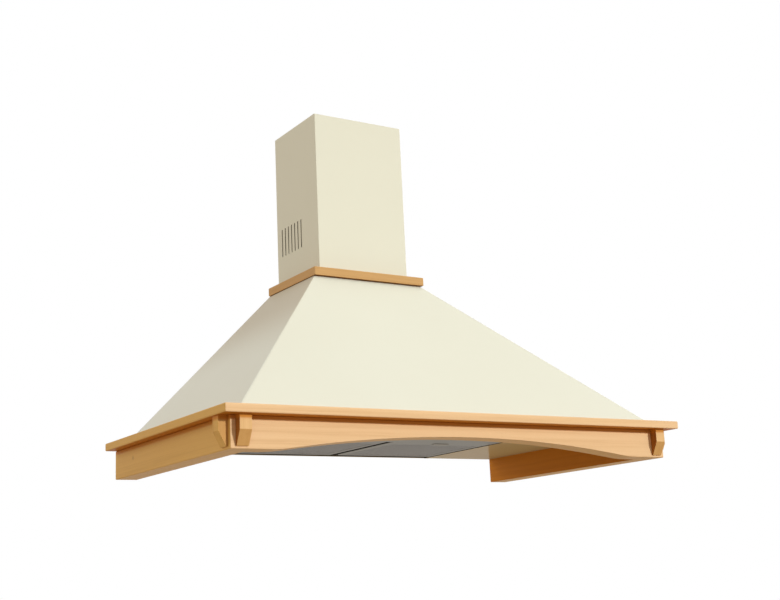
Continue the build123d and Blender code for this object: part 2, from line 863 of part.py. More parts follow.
def blower_plate():
    """Right-hand side plate with its inlet and its top flange."""
    plate = Pos(blower_half - sheet, 0, 0) * extrude(scroll_face(0), sheet)
    inlet = rod(inlet_radius, (blower_half - 5, wheel_y, wheel_z), (1, 0, 0), 10)
    flange = block(blower_half, blower_half + blower_flange, scroll_y, -scroll_rear,
                   canopy_top - sheet, canopy_top)
    return plate - inlet + flange - machine_screw_holes()


def blower_wheel():
    """Double-width wheel: centre disc, two rims, hub and forward-leaning blades."""
    half = wheel_width / 2
    wheel = rod(wheel_radius, (-wheel_plate / 2, 0, 0), (1, 0, 0), wheel_plate)
    wheel = wheel + rod(hub_radius, (-hub_length / 2, 0, 0), (1, 0, 0), hub_length)
    rim = rod(wheel_radius, (0, 0, 0), (1, 0, 0), wheel_plate)
    rim = rim - rod(wheel_radius - wheel_rim, (-1, 0, 0), (1, 0, 0), wheel_plate + 2)
    wheel = wheel + Pos(-half, 0, 0) * rim + Pos(half - wheel_plate, 0, 0) * rim
    chord = wheel_rim * 0.9
    blades = []
    for index in range(blade_count):
        blade = Box(wheel_width - wheel_plate, blade_thickness, chord)
        turned = Rot(blade_tilt, 0, 0) * blade
        lifted = Pos(0, 0, wheel_radius - wheel_rim / 2) * turned
        blades.append(Rot(360 * index / blade_count, 0, 0) * lifted)
    wheel = wheel + blades
    bore = rod(shaft_radius + wood_pin_gap, (-hub_length, 0, 0), (1, 0, 0), 2 * hub_length)
    return Pos(0, wheel_y, wheel_z) * (wheel - bore)


def motor_shaft():
    """Shaft from inside the motor to just past the hub."""
    start = motor_end - shaft_into_motor
    return rod(shaft_radius, (start, wheel_y, wheel_z), (1, 0, 0), hub_length / 2 + 2 - start)


def motor_body():
    """Motor can with a domed rear and the shaft's bearing bore."""
    can = rod(motor_radius, (motor_end - motor_length, wheel_y, wheel_z), (1, 0, 0), motor_length)
    can = fillet(can.edges().filter_by(GeomType.CIRCLE).sort_by(Axis.X)[0], motor_radius / 5)
    bore = rod(shaft_radius + running_gap, (motor_end - shaft_into_motor - 1, wheel_y, wheel_z),
               (1, 0, 0), shaft_into_motor + 2)
    return can - bore


def motor_spider():
    """Ring clamped on the motor, with three arms on the left side plate."""
    plate_face = -blower_half
    inner = motor_radius + wood_pin_gap
    ring = rod(inner + spider_ring, (plate_face, 0, 0), (-1, 0, 0), spider_depth)
    for index in range(3):
        arm = block(plate_face - spider_arm_thickness, plate_face, -spider_arm_width / 2,
                    spider_arm_width / 2, motor_radius, spider_reach)
        ring = ring + Rot(120 * index, 0, 0) * arm
    ring = ring - rod(inner, (plate_face + 1, 0, 0), (-1, 0, 0), spider_depth + 2)
    return Pos(0, wheel_y, wheel_z) * ring


def terminal_box():
    """Closed box on the back panel for the control board and the capacitor."""
    x0 = terminal_from_centre - terminal_width / 2
    box = block(x0, x0 + terminal_width, -(back_sheet + terminal_depth), -back_sheet,
                terminal_foot_height, terminal_foot_height + terminal_height)
    return fillet(box.edges().filter_by(Axis.Y), terminal_round)


# ---- outlet ----
def duct_plate():
    """Plate that closes the canopy's top and carries blower and spigot."""
    rear = -(sheet + slide_gap + back_sheet)
    plate = block(-plate_half, plate_half, -plate_front, rear, canopy_top, plate_top)
    plate = plate - rod(spigot_radius - spigot_wall - spigot_bore_step, (0, outlet_y, canopy_top - 1),
                        (0, 0, 1), plate_thickness + 2)
    gland_hole = rod(gland_neck_radius + screw_gap, (gland_from_centre, -gland_from_wall, canopy_top - 1),
                     (0, 0, 1), plate_thickness + 2)
    return plate - gland_hole - machine_screw_holes()


def outlet_spigot():
    """Round duct collar with a flange and an inner seat for the damper flaps."""
    foot = (0, outlet_y, plate_top)
    bore = spigot_radius - spigot_wall
    spigot = rod(spigot_radius, foot, (0, 0, 1), spigot_height)
    spigot = spigot + rod(spigot_radius + spigot_flange, foot, (0, 0, 1), sheet)
    spigot = spigot - rod(bore, (0, outlet_y, plate_top - 1), (0, 0, 1), spigot_height + 2)
    seat_top = damper_z - knuckle_radius - seat_gap
    seat = rod(spigot_radius - spigot_wall / 2, (0, outlet_y, seat_top - sheet), (0, 0, 1), sheet)
    seat = seat - rod(bore - damper_seat_width, (0, outlet_y, seat_top - 2), (0, 0, 1), 4)
    pin_hole = rod(damper_pin_radius + wood_pin_gap, (-spigot_radius - 1, outlet_y, damper_z), (1, 0, 0),
                   2 * spigot_radius + 2)
    return spigot + seat - pin_hole


def damper_pin():
    """Fixed pin across the spigot."""
    length = 2 * spigot_radius - spigot_wall
    return rod(damper_pin_radius, (-length / 2, outlet_y, damper_z), (1, 0, 0), length)


def damper_flap(sign, knuckle_centres):
    """Half-round flap on knuckles round the pin; sign gives the side it lies on."""
    radius = spigot_radius - spigot_wall - damper_edge_gap
    low = damper_z - knuckle_radius
    disc = rod(radius, (0, outlet_y, low), (0, 0, 1), damper_sheet)
    near = outlet_y + sign * damper_centre_gap
    far = outlet_y + sign * (radius + 1)
    keep = block(-radius - 1, radius + 1, min(near, far), max(near, far), low - 1, low + 2)
    flap = disc & keep
    half = damper_knuckle_length / 2
    for x in knuckle_centres:
        tongue = block(x - half, x + half, min(outlet_y, near + sign), max(outlet_y, near + sign),
                       low, low + damper_sheet)
        barrel = rod(knuckle_radius, (x - half, outlet_y, damper_z), (1, 0, 0), damper_knuckle_length)
        flap = flap + tongue + barrel
    reach = 2 * spigot_radius
    bore = rod(damper_pin_radius + running_gap, (-spigot_radius, outlet_y, damper_z), (1, 0, 0), reach)
    return flap - bore


def cable_gland():
    """Gland for the mains lead: neck through the plate, nut below and cap above."""
    x = gland_from_centre
    y = -gland_from_wall
    low = canopy_top - gland_nut_height
    gland = rod(gland_neck_radius, (x, y, low - 2), (0, 0, 1), plate_top - low + 4)
    gland = gland + rod(gland_nut_radius, (x, y, low), (0, 0, 1), gland_nut_height)
    cap = rod(gland_nut_radius, (x, y, plate_top), (0, 0, 1), gland_cap_height)
    cap = chamfer(cap.edges().filter_by(GeomType.CIRCLE).sort_by(Axis.Z)[-1], 2.0)
    bore = rod(gland_bore_radius, (x, y, low - 3), (0, 0, 1), plate_top + gland_cap_height - low + 4)
    return gland + cap - bore


# ---- lamps ----
def lamp_places():
    """Places of the two lamps, level with the pan's underside."""
    return [Pos(side * lamp_spacing / 2, -lamp_from_wall, pan_low) for side in (-1, 1)]


def lamp_housings():
    """Cups through the pan, each with a flange below it and a step that seats the lens."""
    foot = -lamp_flange_thickness
    cup = rod(lamp_radius, (0, 0, foot), (0, 0, 1), lamp_height - foot)
    cup = cup + rod(lamp_radius + lamp_flange, (0, 0, foot), (0, 0, 1), lamp_flange_thickness)
    cup = fillet(cup.edges().filter_by(GeomType.CIRCLE).sort_by(Axis.Z)[0], lamp_flange_thickness / 2)
    cup = cup - rod(lens_radius + screw_gap, (0, 0, foot - 1), (0, 0, 1), lens_recess + lens_thickness + 1)
    cup = cup - rod(lens_radius - lens_seat, (0, 0, foot), (0, 0, 1), lamp_height - foot - lamp_wall)
    return [place * cup for place in lamp_places()]


def lamp_lenses():
    """Round frosted glasses, set a little back in the flanges."""
    lens = rod(lens_radius, (0, 0, lens_recess - lamp_flange_thickness), (0, 0, 1), lens_thickness)
    lens = fillet(lens.edges().filter_by(GeomType.CIRCLE).sort_by(Axis.Z)[0], lens_thickness / 4)
    return [place * lens for place in lamp_places()]


def lamp_bulbs():
    """Capsule bulbs on their bases under the tops of the cups."""
    top = lamp_height - lamp_wall
    bulb = rod(bulb_radius, (0, 0, top), (0, 0, -1), bulb_height)
    bulb = fillet(bulb.edges().filter_by(GeomType.CIRCLE).sort_by(Axis.Z)[0], bulb_radius * 0.8)
    bulb = bulb + rod(bulb_base_radius, (0, 0, top), (0, 0, -1), bulb_base_height)
    return [place * bulb for place in lamp_places()]


# ---- switch block ----
def button_places():
    """Places of the push buttons, level with the pan's underside."""
    middle = (button_count - 1) / 2
    return [Pos((index - middle) * button_pitch, -switch_from_wall, pan_low)
            for index in range(button_count)]


def switch_housing():
    """Moulded block through the pan with a rim below it and a stepped well for each button."""
    foot = -switch_rim_thickness
    half_length = switch_length / 2
    half_depth = switch_depth / 2
    body = block(-half_length, half_length, -half_depth, half_depth, foot, switch_height)
    rim = block(-half_length - switch_rim, half_length + switch_rim,
                -half_depth - switch_rim, half_depth + switch_rim, foot, 0)
    rim = fillet(rim.edges().filter_by(Axis.Z), switch_rim / 2)
    housing = Pos(0, -switch_from_wall, pan_low) * (body + rim)
    well_top = 2 * seat_gap + button_collar_height + button_travel + button_spring_room
    stem_hole = rod(button_radius + screw_gap, (0, 0, foot - 1), (0, 0, 1), well_top - foot)
    well = rod(button_radius + button_collar + screw_gap, (0, 0, seat_gap), (0, 0, 1), well_top - seat_gap)
    return housing - [place * (stem_hole + well) for place in button_places()]


def button():
    """Round push button with a collar that keeps it in its well."""
    foot = -switch_rim_thickness - button_stand_out
    collar_top = 2 * seat_gap + button_collar_height
    stem = rod(button_radius, (0, 0, foot), (0, 0, 1), collar_top - foot)
    stem = fillet(stem.edges().filter_by(GeomType.CIRCLE).sort_by(Axis.Z)[0], button_radius / 7)
    return stem + rod(button_radius + button_collar, (0, 0, collar_top), (0, 0, -1), button_collar_height)


# ---- the whole hood ----
def hood():
    """Every sub-part under its name."""
    parts = {}
    parts["moulding_front"], parts["moulding_left"], parts["moulding_right"] = mouldings()
    parts["apron_front"], parts["apron_left"], parts["apron_right"] = aprons()
    parts.update(corbels())
    parts["collar_front"], parts["collar_left"], parts["collar_right"] = collars()
    parts["corbel_dowels"] = corbel_dowel_bars(0)
    parts["frame_screws"] = frame_screws()
    parts["collar_screws"] = collar_screws()
    parts["plate_screws"] = plate_screws()
    front, left, right = canopy_panels()
    parts["canopy_front_panel"] = front
    parts["canopy_left_panel"] = left
    parts["canopy_right_panel"] = right
    parts["back_panel"] = back_panel()
    parts["hanging_plates"] = hanging_plates()
    parts["underside_pan"] = underside_pan()
    parts["filter_rail"] = filter_rail()
    parts["rear_seal"] = rear_seal()
    parts["chimney_outer"] = chimney_outer()
    parts["chimney_inner"] = chimney_inner()
    parts["chimney_wall_bracket"] = chimney_wall_bracket()
    parts["duct_plate"] = duct_plate()
    parts["outlet_spigot"] = outlet_spigot()
    parts["damper_pin"] = damper_pin()
    parts["damper_flap_front"] = damper_flap(-1, [-damper_knuckle_length - 3, damper_knuckle_length + 3])
    parts["damper_flap_rear"] = damper_flap(1, [0])
    parts["cable_gland"] = cable_gland()
    parts["blower_scroll"] = blower_scroll()
    parts["blower_right_plate"] = blower_plate()
    parts["blower_left_plate"] = mirrored(blower_plate())
    parts["blower_wheel"] = blower_wheel()
    parts["motor_shaft"] = motor_shaft()
    parts["motor_body"] = motor_body()
    parts["motor_spider"] = motor_spider()
    parts["terminal_box"] = terminal_box()
    for name, piece in (("filter_frame", filter_frame()), ("filter_mesh", filter_mesh()),
                        ("latch_handle", latch_handle()), ("latch_tongue", latch_tongue())):
        parts[name + "_right"] = piece
        parts[name + "_left"] = mirrored(piece)
    parts["lamp_housings"] = lamp_housings()
    parts["lamp_lenses"] = lamp_lenses()
    parts["lamp_bulbs"] = lamp_bulbs()
    parts["switch_housing"] = switch_housing()
    for index, place in enumerate(button_places()):
        parts["button_" + str(index + 1)] = place * button()
    return parts


def write_parts(parts):
    """One STEP file per sub-part."""
    os.makedirs("parts", exist_ok=True)
    for name, piece in parts.items():
        shape = Compound(children=piece) if isinstance(piece, list) else piece
        export_step(shape, os.path.join("parts", name + ".step"))


write_parts(hood())
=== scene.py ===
import bmesh
import bpy
from math import pi, radians, sin
from mathutils import Matrix, Vector


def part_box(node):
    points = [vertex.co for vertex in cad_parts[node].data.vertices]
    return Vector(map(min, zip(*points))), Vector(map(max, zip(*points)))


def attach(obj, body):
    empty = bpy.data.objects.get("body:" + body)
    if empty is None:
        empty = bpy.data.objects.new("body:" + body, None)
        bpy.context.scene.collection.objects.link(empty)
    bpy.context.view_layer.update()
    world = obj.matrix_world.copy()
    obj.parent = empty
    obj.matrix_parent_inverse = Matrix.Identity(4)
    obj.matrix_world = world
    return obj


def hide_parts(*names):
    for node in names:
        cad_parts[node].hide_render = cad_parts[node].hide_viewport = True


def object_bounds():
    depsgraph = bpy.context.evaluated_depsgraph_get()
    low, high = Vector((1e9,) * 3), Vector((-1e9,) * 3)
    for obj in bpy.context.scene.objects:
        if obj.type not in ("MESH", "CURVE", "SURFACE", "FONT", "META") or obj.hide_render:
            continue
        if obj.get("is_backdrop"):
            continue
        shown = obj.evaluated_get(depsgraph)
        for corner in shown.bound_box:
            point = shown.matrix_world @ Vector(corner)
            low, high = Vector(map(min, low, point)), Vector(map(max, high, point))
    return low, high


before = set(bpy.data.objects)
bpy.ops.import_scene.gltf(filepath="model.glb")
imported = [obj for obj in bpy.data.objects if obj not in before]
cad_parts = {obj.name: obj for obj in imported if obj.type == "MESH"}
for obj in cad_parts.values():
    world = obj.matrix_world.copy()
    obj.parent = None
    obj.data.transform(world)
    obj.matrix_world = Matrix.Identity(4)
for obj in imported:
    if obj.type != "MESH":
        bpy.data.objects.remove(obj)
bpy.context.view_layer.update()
scene = bpy.context.scene


# ---- Room and camera ----
# The hood hangs in a white room, 1.6 m over a plain pale floor. The camera stands low in front of its
# left corner and looks up at it. One low, hard lamp comes from the front right. Wide soft lamps from the
# left, the ceiling and the rear left, and the warm room, light the rest.
class Socket:
    """An output of a shader node. Sums, differences and products of it add Math nodes."""

    def __init__(self, tree, output):
        self.tree = tree
        self.output = output

    def node(self, kind, settings, inputs, output=0):
        """Adds a node of a kind, with its settings and then the values or links of its sockets."""
        made = self.tree.nodes.new("ShaderNode" + kind)
        for name, value in settings.items():
            if name == "stops":
                ends = made.color_ramp.elements
                ends[0].position, ends[0].color = value[0]
                ends[1].position, ends[1].color = value[-1]
                for place, colour in value[1:-1]:
                    ends.new(place).color = colour
            else:
                setattr(made, name, value)
        for name, value in inputs.items():
            if isinstance(value, Socket):
                self.tree.links.new(value.output, made.inputs[name])
            else:
                made.inputs[name].default_value = value
        return Socket(self.tree, made.outputs[output])

    def into(self, socket):
        """Links this output to a socket of another node."""
        self.tree.links.new(self.output, socket)

    def math(self, operation, first, second):
        return self.node("Math", {"operation": operation}, {0: first, 1: second})

    def __add__(self, other):
        return self.math("ADD", self, other)

    def __sub__(self, other):
        return self.math("SUBTRACT", self, other)

    def __rsub__(self, other):
        return self.math("SUBTRACT", other, self)

    def __mul__(self, other):
        return self.math("MULTIPLY", self, other)

    __radd__ = __add__
    __rmul__ = __mul__


def blended(share, first, second):
    """A colour between two colours."""
    return share.node("Mix", {"data_type": "RGBA"}, {0: share, 6: first, 7: second}, 2)


def rays_at_white(tree):
    """1 for the rays that draw the background: seen by the camera, in gloss or through glass."""
    rays = tree.nodes.new("ShaderNodeLightPath")
    seen, gloss, through = (Socket(tree, rays.outputs[name]) for name in
                            ("Is Camera Ray", "Is Glossy Ray", "Is Transmission Ray"))
    return seen.math("MAXIMUM", seen.math("MAXIMUM", seen, gloss), through)


def primitive(name, add, **sizes):
    """Adds one of Blender's primitives with nothing else selected, and names it."""
    bpy.ops.object.select_all(action="DESELECT")
    add(**sizes)
    made = bpy.context.object
    made.name = name
    return made


pure_white = (1.0, 1.0, 1.0, 1.0)
room_light = (1.0, 0.94, 0.88, 1.0)
room_strength = 0.38
world = bpy.data.worlds.new("white_room")
world.use_nodes = True
scene.world = world
backdrop = world.node_tree.nodes["Background"].inputs
white = rays_at_white(world.node_tree)
blended(white, room_light, pure_white).into(backdrop["Color"])
(room_strength + white * (1.0 - room_strength)).into(backdrop["Strength"])

floor_level = -1.60
floor_size = 60.0
floor_shadow_share = 0.30
floor_colour = (0.52, 0.43, 0.31, 1.0)
floor = primitive("floor", bpy.ops.mesh.primitive_plane_add, size=floor_size,
                  location=(0.0, 0.0, floor_level))
bpy.ops.object.transform_apply(location=True)
floor_finish = bpy.data.materials.new("pale_floor")
floor_finish.use_nodes = True
tree = floor_finish.node_tree
matt = tree.nodes["Principled BSDF"]
matt.inputs["Base Color"].default_value = floor_colour
matt.inputs["Roughness"].default_value = 0.9
matt.inputs["Specular IOR Level"].default_value = 0.0
white = rays_at_white(tree)
glow = white.node("Emission", {}, {"Color": pure_white, "Strength": 1.0})
white.node("MixShader", {}, {0: white * (1.0 - floor_shadow_share), 1: Socket(tree, matt.outputs["BSDF"]),
                             2: glow}).into(tree.nodes["Material Output"].inputs["Surface"])
floor.data.materials.append(floor_finish)
floor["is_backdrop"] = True

camera_place = (-1.2020, -2.1192, -0.2571)
camera_turn, camera_tilt, camera_roll = 0.5718, 0.2275, -0.0471
sensor_width, focal_length = 36.0, 57.27
camera = bpy.data.objects.new("camera", bpy.data.cameras.new("camera"))
camera.data.sensor_width = sensor_width
camera.data.lens = focal_length
scene.collection.objects.link(camera)
camera.matrix_world = (Matrix.Translation(camera_place) @ Matrix.Rotation(-camera_turn, 4, "Z")
                       @ Matrix.Rotation(pi / 2 + camera_tilt, 4, "X")
                       @ Matrix.Rotation(camera_roll, 4, "Z"))
scene.camera = camera

hard, soft = radians(3.0), radians(50.0)
for name, comes_from, strength, spread, colour in (
        ("key_lamp", (0.42, -1.0, 0.29), 2.30, hard, (0.93, 0.985, 1.0)),
        ("left_lamp", (-1.0, 0.7, 0.15), 0.72, soft, (1.0, 0.98, 0.95)),
        ("ceiling_lamp", (0.5, -0.2, 1.0), 0.75, soft, (0.90, 0.96, 1.0)),
        ("rear_lamp", (-0.6, 0.5, 0.7), 0.54, soft, (1.0, 1.0, 0.95))):
    lamp = bpy.data.objects.new(name, bpy.data.lights.new(name, "SUN"))
    lamp.data.energy = strength
    lamp.data.angle = spread
    lamp.data.color = colour
    lamp.rotation_mode = "QUATERNION"
    lamp.rotation_quaternion = Vector(comes_from).to_track_quat("Z", "Y")
    lamp.visible_glossy = False
    scene.collection.objects.link(lamp)
scene.view_settings.view_transform = "Standard"


# ---- Wooden frame ----
# Three upright beech boards 38 mm thick, the front one cut to a long shallow arch, carry a moulding that
# stands 19 to 25 mm proud. The strips are mitred and glued at the front corners, screwed from inside and
# eased along every edge. They have a clear satin lacquer. As painted shade, the side boards and the arch's
# lower faces are a deeper golden than the front, and the inner faces and the mouldings' lower faces are dark
# brown; a painted shadow darkens the top few millimetres under the moulding.
def new_finish(name, uniform):
    """A material with its uniform values set; gives it, its shader's sockets and Object coordinates."""
    finish = bpy.data.materials.new(name)
    finish.use_nodes = True
    shader = finish.node_tree.nodes["Principled BSDF"].inputs
    for socket, value in uniform.items():
        shader[socket].default_value = value
    coordinates = finish.node_tree.nodes.new("ShaderNodeTexCoord")
    return finish, shader, Socket(finish.node_tree, coordinates.outputs["Object"])


def stretched(place, scales):
    """Coordinates with a scale of their own along each axis, for a pattern that is drawn out."""
    return place.node("Mapping", {}, {"Vector": place, "Scale": scales})


def noise(place, scale, detail, roughness=0.5):
    """Soft irregular noise from 0 to 1; its scale is about how many lumps it has to the metre."""
    return place.node("TexNoise", {}, {"Vector": place, "Scale": scale, "Detail": detail,
                                       "Roughness": roughness})


def height_of(place):
    """The height of a point over the top of the frame's boards."""
    return place.node("SeparateXYZ", {}, {0: place}, 2)


def bumped(height, strength, depth):
    """A Bump node's normal from a height of 0 to 1 that stands for a depth in metres."""
    return height.node("Bump", {}, {"Strength": strength, "Distance": depth, "Height": height})


def step_down(value, start, end):
    """1 below a start and 0 above an end, smooth between."""
    return value.node("MapRange", {"interpolation_type": "SMOOTHSTEP"},
                      {"Value": value, "From Min": start, "From Max": end, "To Min": 1.0, "To Max": 0.0})


def shade_of(colour, share):
    """A colour made lighter or darker by a share, as a node takes it."""
    return tuple(part * share for part in colour[:3]) + (1.0,)


# The pale tone goes to the front boards and the deeper golden one to the side boards and side corbels:
# painted shade for the faces that turn from the key lamp.
pale_beech = (0.83, 0.545, 0.30)
golden_beech = (0.71, 0.415, 0.118)
# A dark brown for painted shade and painted shadow on the beech.
painted_shade_beech = (0.55, 0.20, 0.022)
beech_fleck = (0.330, 0.140, 0.040, 1.0)
early_wood, late_wood = (0.87, 0.82, 0.76), (1.05, 1.08, 1.12)
# Depth, fade and strength of the painted shadow under the moulding.
painted_shadow_depth, painted_shadow_end, painted_shadow_share = 0.004, 0.009, 0.90
board_top_slack = 0.0002
knot_radius, knot_end, knot_share = 0.002, 0.008, 0.45


def beech(name, shade, grain_turn, heart, knot=None):
    """Beech in a given tone, its grain along X after a turn, the tree's heart at a place.

    The top few millimetres of whatever hangs under the moulding are darkened: a painted shadow of the
    moulding."""
    finish, shader, place = new_finish(name, {"Specular IOR Level": 0.06})
    dark, light = (tuple(part * share for part, share in zip(shade, shares)) + (1.0,)
                   for shares in (early_wood, late_wood))
    board = place.node("Mapping", {}, {"Vector": place, "Rotation": grain_turn})
    streaks = noise(stretched(board, (1.6, 95.0, 95.0)), 1.0, 3.0, 0.55)
    lines = noise(stretched(board, (5.0, 420.0, 420.0)), 1.0, 2.0)
    wander = noise(stretched(board, (1.2, 9.0, 9.0)), 1.0, 2.0)
    fibres = noise(stretched(board, (28.0, 1100.0, 1100.0)), 1.0, 2.0)
    from_heart = board.node("Mapping", {}, {"Vector": board, "Location": heart, "Scale": (0.05, 1.0, 1.0)})
    rings = board.node("TexWave", {"wave_type": "RINGS", "rings_direction": "X"}, {
        "Vector": from_heart, "Scale": 26.0, "Distortion": 1.6, "Detail": 2.0, "Detail Scale": 0.8,
        "Detail Roughness": 0.5})
    cells = board.node("TexVoronoi", {}, {
        "Vector": stretched(board, (230.0, 1250.0, 1250.0)), "Scale": 1.0, "Randomness": 1.0})
    flecks = step_down(cells, 0.10, 0.24)
    tone = streaks * 0.42 + lines * 0.22 + wander * 0.20 + rings * 0.07 + fibres * 0.16
    colour = tone.node("ValToRGB", {"stops": [(0.36, dark), (0.54, shade_of(shade, 1.0)), (0.74, light)]},
                       {"Fac": tone})
    colour = blended(flecks * (0.04 + 0.30 * wander), colour, beech_fleck)
    # Painted shadow: a few millimetres below the moulding blend towards the dark brown.
    below = 0.0 - height_of(place)
    corner = step_down(below, painted_shadow_depth, painted_shadow_end) * (1.0 - step_down(below, -board_top_slack, 0.0))
    colour = blended(corner * painted_shadow_share, colour, shade_of(painted_shade_beech, 1.0))
    if knot:
        gap = board.node("VectorMath", {"operation": "DISTANCE"}, {0: place, 1: knot}, 1)
        spot = step_down(gap + fibres * 0.004, knot_radius, knot_end)
        colour = blended(spot * knot_share, colour, beech_fleck)
    colour.into(shader["Base Color"])
    (0.36 + fibres * 0.14 + flecks * 0.10).into(shader["Roughness"])
    bumped(fibres * 0.6 - flecks, 0.30, 0.00005).into(shader["Normal"])
    return finish


def only(piece):
    """Selects one piece, for the operators that follow."""
    bpy.ops.object.select_all(action="DESELECT")
    bpy.context.view_layer.objects.active = piece
    piece.select_set(True)


def whole_copy(name, node):
    """A copy of a CAD node as whole faces: loose triangles are merged and flat ones joined."""
    piece = bpy.data.objects.new(name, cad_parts[node].data.copy())
    scene.collection.objects.link(piece)
    piece.data.materials.clear()
    only(piece)
    bpy.ops.object.mode_set(mode="EDIT")
    bpy.ops.mesh.select_all(action="SELECT")
    bpy.ops.mesh.remove_doubles(threshold=2e-6)
    bpy.ops.mesh.dissolve_limited(angle_limit=radians(0.2))
    bpy.ops.mesh.customdata_custom_splitnormals_clear()
    bpy.ops.object.mode_set(mode="OBJECT")
    return piece


def modified(piece, name, kind, **settings):
    """Adds a modifier to the active piece, with its settings, and applies it."""
    modifier = piece.modifiers.new(name, kind)
    for setting, value in settings.items():
        setattr(modifier, setting, value)
    bpy.ops.object.modifier_apply(modifier=name)


def eased(piece, width, segments=2, angle=40.0, smooth=35.0):
    """Rounds a piece's sharp edges a little and smooths its shading, its flat faces kept flat."""
    only(piece)
    modified(piece, "eased", "BEVEL", width=width, segments=segments, limit_method="ANGLE",
             angle_limit=radians(angle))
    bpy.ops.object.shade_smooth_by_angle(angle=radians(smooth))
    modified(piece, "flat_faces_first", "WEIGHTED_NORMAL", keep_sharp=True)
    return piece


def fitted(piece, body, slot, finish, *nodes):
    """Gives a piece its material and its body, and hides the CAD nodes that it stands for. The slot is not
    used.
    """
    piece.data.materials.clear()
    piece.data.materials.append(finish)
    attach(piece, body)
    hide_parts(*nodes)
    return piece


def refinished(piece, finish, wanted):
    """Gives another finish to those of a piece's faces that are wanted."""
    piece.data.materials.append(finish)
    for face in piece.data.polygons:
        if wanted(face):
            face.material_index = len(piece.data.materials) - 1


board_edge = 0.0004
square_on = 0.9  # the least share of a normal along a way, for a face that is square on to it
along_x, along_y, along_z = (0.0, 0.0, 0.0), (0.0, 0.0, -pi / 2), (0.0, pi / 2, 0.0)
front_heart, side_heart = (0.0, 0.52, 0.15), (0.0, 0.37, 0.17)
left_apron_knot = (-0.431, -0.0844, -0.0207)
beech_across = beech("beech_across", pale_beech, along_x, front_heart)
beech_deep = beech("beech_deep", golden_beech, along_y, side_heart, left_apron_knot)
golden_across = beech("golden_across", golden_beech, along_x, front_heart)
painted_shade_across = beech("painted_shade_across", painted_shade_beech, along_x, front_heart)
painted_shade_deep = beech("painted_shade_deep", painted_shade_beech, along_y, side_heart)
downwards = Vector((0.0, 0.0, -1.0))
# Painted shade: the aprons' inner faces and the mouldings' lower faces take a dark brown copy of the beech.
for side, finish, painted_shade, inwards in (("front", beech_across, painted_shade_across, Vector((0.0, 1.0, 0.0))),
                                     ("left", beech_deep, painted_shade_deep, Vector((1.0, 0.0, 0.0))),
                                     ("right", beech_deep, painted_shade_deep, Vector((-1.0, 0.0, 0.0)))):
    for strip, painted_shade_way in (("moulding", downwards), ("apron", inwards)):
        board = eased(whole_copy(strip + "_" + side + "_board", strip + "_" + side), board_edge)
        fitted(board, "hood", "beech", finish, strip + "_" + side)
        refinished(board, painted_shade, lambda face: face.normal.dot(painted_shade_way) > square_on)
# Painted shade: the front apron's lower faces, under the arch, take the golden tone.
refinished(bpy.data.objects["apron_front_board"], golden_across,
           lambda face: face.normal.dot(downwards) > square_on)


# ---- Corbels ----
# Four small beech brackets stand on the aprons either side of the front corners, each sawn from one block
# with upright grain, its foot cut away on a slant and glued on two dowels. Painted shade darkens the front
# brackets' slanted feet and, more, their sides, and the side brackets' front and back faces.
def painted(finish, *nodes):
    """Gives CAD nodes whose shape is right a better material."""
    for node in nodes:
        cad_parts[node].data.materials.clear()
        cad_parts[node].data.materials.append(finish)


corbel_edge, corbel_smooth = 0.0003, 20.0
corbel_slant = 0.2  # the slanted foot's normals point down by more than this
corbel_heart = (0.0, 0.4, 0.4)
# The side corbels take the deeper golden of the side boards, as painted shade.
front_upright = beech("front_upright", (0.80, 0.50, 0.235), along_z, corbel_heart)
side_upright = beech("side_upright", golden_beech, along_z, (0.1, 0.3, 0.4))
# Two darker copies of the beech, for painted shade on the corbels.
painted_half_shade_upright = beech("painted_half_shade_upright", (0.62, 0.34, 0.12), along_z, corbel_heart)
painted_shade_upright = beech("painted_shade_upright", (0.36, 0.125, 0.02), along_z, corbel_heart)
for corner, finish in (("front_left", front_upright), ("front_right", front_upright),
                       ("side_left", side_upright), ("side_right", side_upright)):
    bracket = eased(whole_copy("corbel_" + corner + "_block", "corbel_" + corner), corbel_edge,
                    angle=corbel_smooth, smooth=corbel_smooth)
    fitted(bracket, "hood", "beech", finish, "corbel_" + corner)
    # Painted shade: the side corbels' front and back faces, and the front corbels' slanted feet and, darker,
    # their sides.
    if corner.startswith("side"):
        refinished(bracket, painted_half_shade_upright, lambda face: abs(face.normal.y) > square_on)
    else:
        refinished(bracket, painted_half_shade_upright, lambda face: face.normal.z < -corbel_slant)
        refinished(bracket, painted_shade_upright, lambda face: abs(face.normal.x) > square_on)
painted(beech_deep, "corbel_dowels")


# ---- Canopy ----
# One pyramid of 1 mm steel sheet, welded and ground smooth along its two front ridges, folded inwards to
# flanges at its foot, its top and its back, and powder coated in semi-gloss cream. The side faces have a
# lighter copy of the cream as painted light, which darkens towards the collar as painted shade.
def picked(piece, kind, wanted):
    """Goes into edit mode and selects only the vertices, edges or faces whose middle is wanted."""
    if bpy.context.mode != "OBJECT":
        bpy.ops.object.mode_set(mode="OBJECT")
    only(piece)
    bpy.ops.object.mode_set(mode="EDIT")
    bpy.ops.mesh.select_mode(type=kind)
    bpy.ops.mesh.select_all(action="DESELECT")
    mesh = bmesh.from_edit_mesh(piece.data)
    for item in {"VERT": mesh.verts, "EDGE": mesh.edges, "FACE": mesh.faces}[kind]:
        corners = [item] if kind == "VERT" else list(item.verts)
        if wanted(sum((corner.co for corner in corners), Vector()) / len(corners)):
            item.select_set(True)
    mesh.select_flush_mode()
    bmesh.update_edit_mesh(piece.data)


def put(piece, place=(0.0, 0.0, 0.0)):
    """Leaves edit mode and applies the object's place, turn and scale to its mesh."""
    bpy.ops.object.mode_set(mode="OBJECT")
    only(piece)
    piece.location = place
    bpy.ops.object.transform_apply(location=True, rotation=True, scale=True)
    return piece


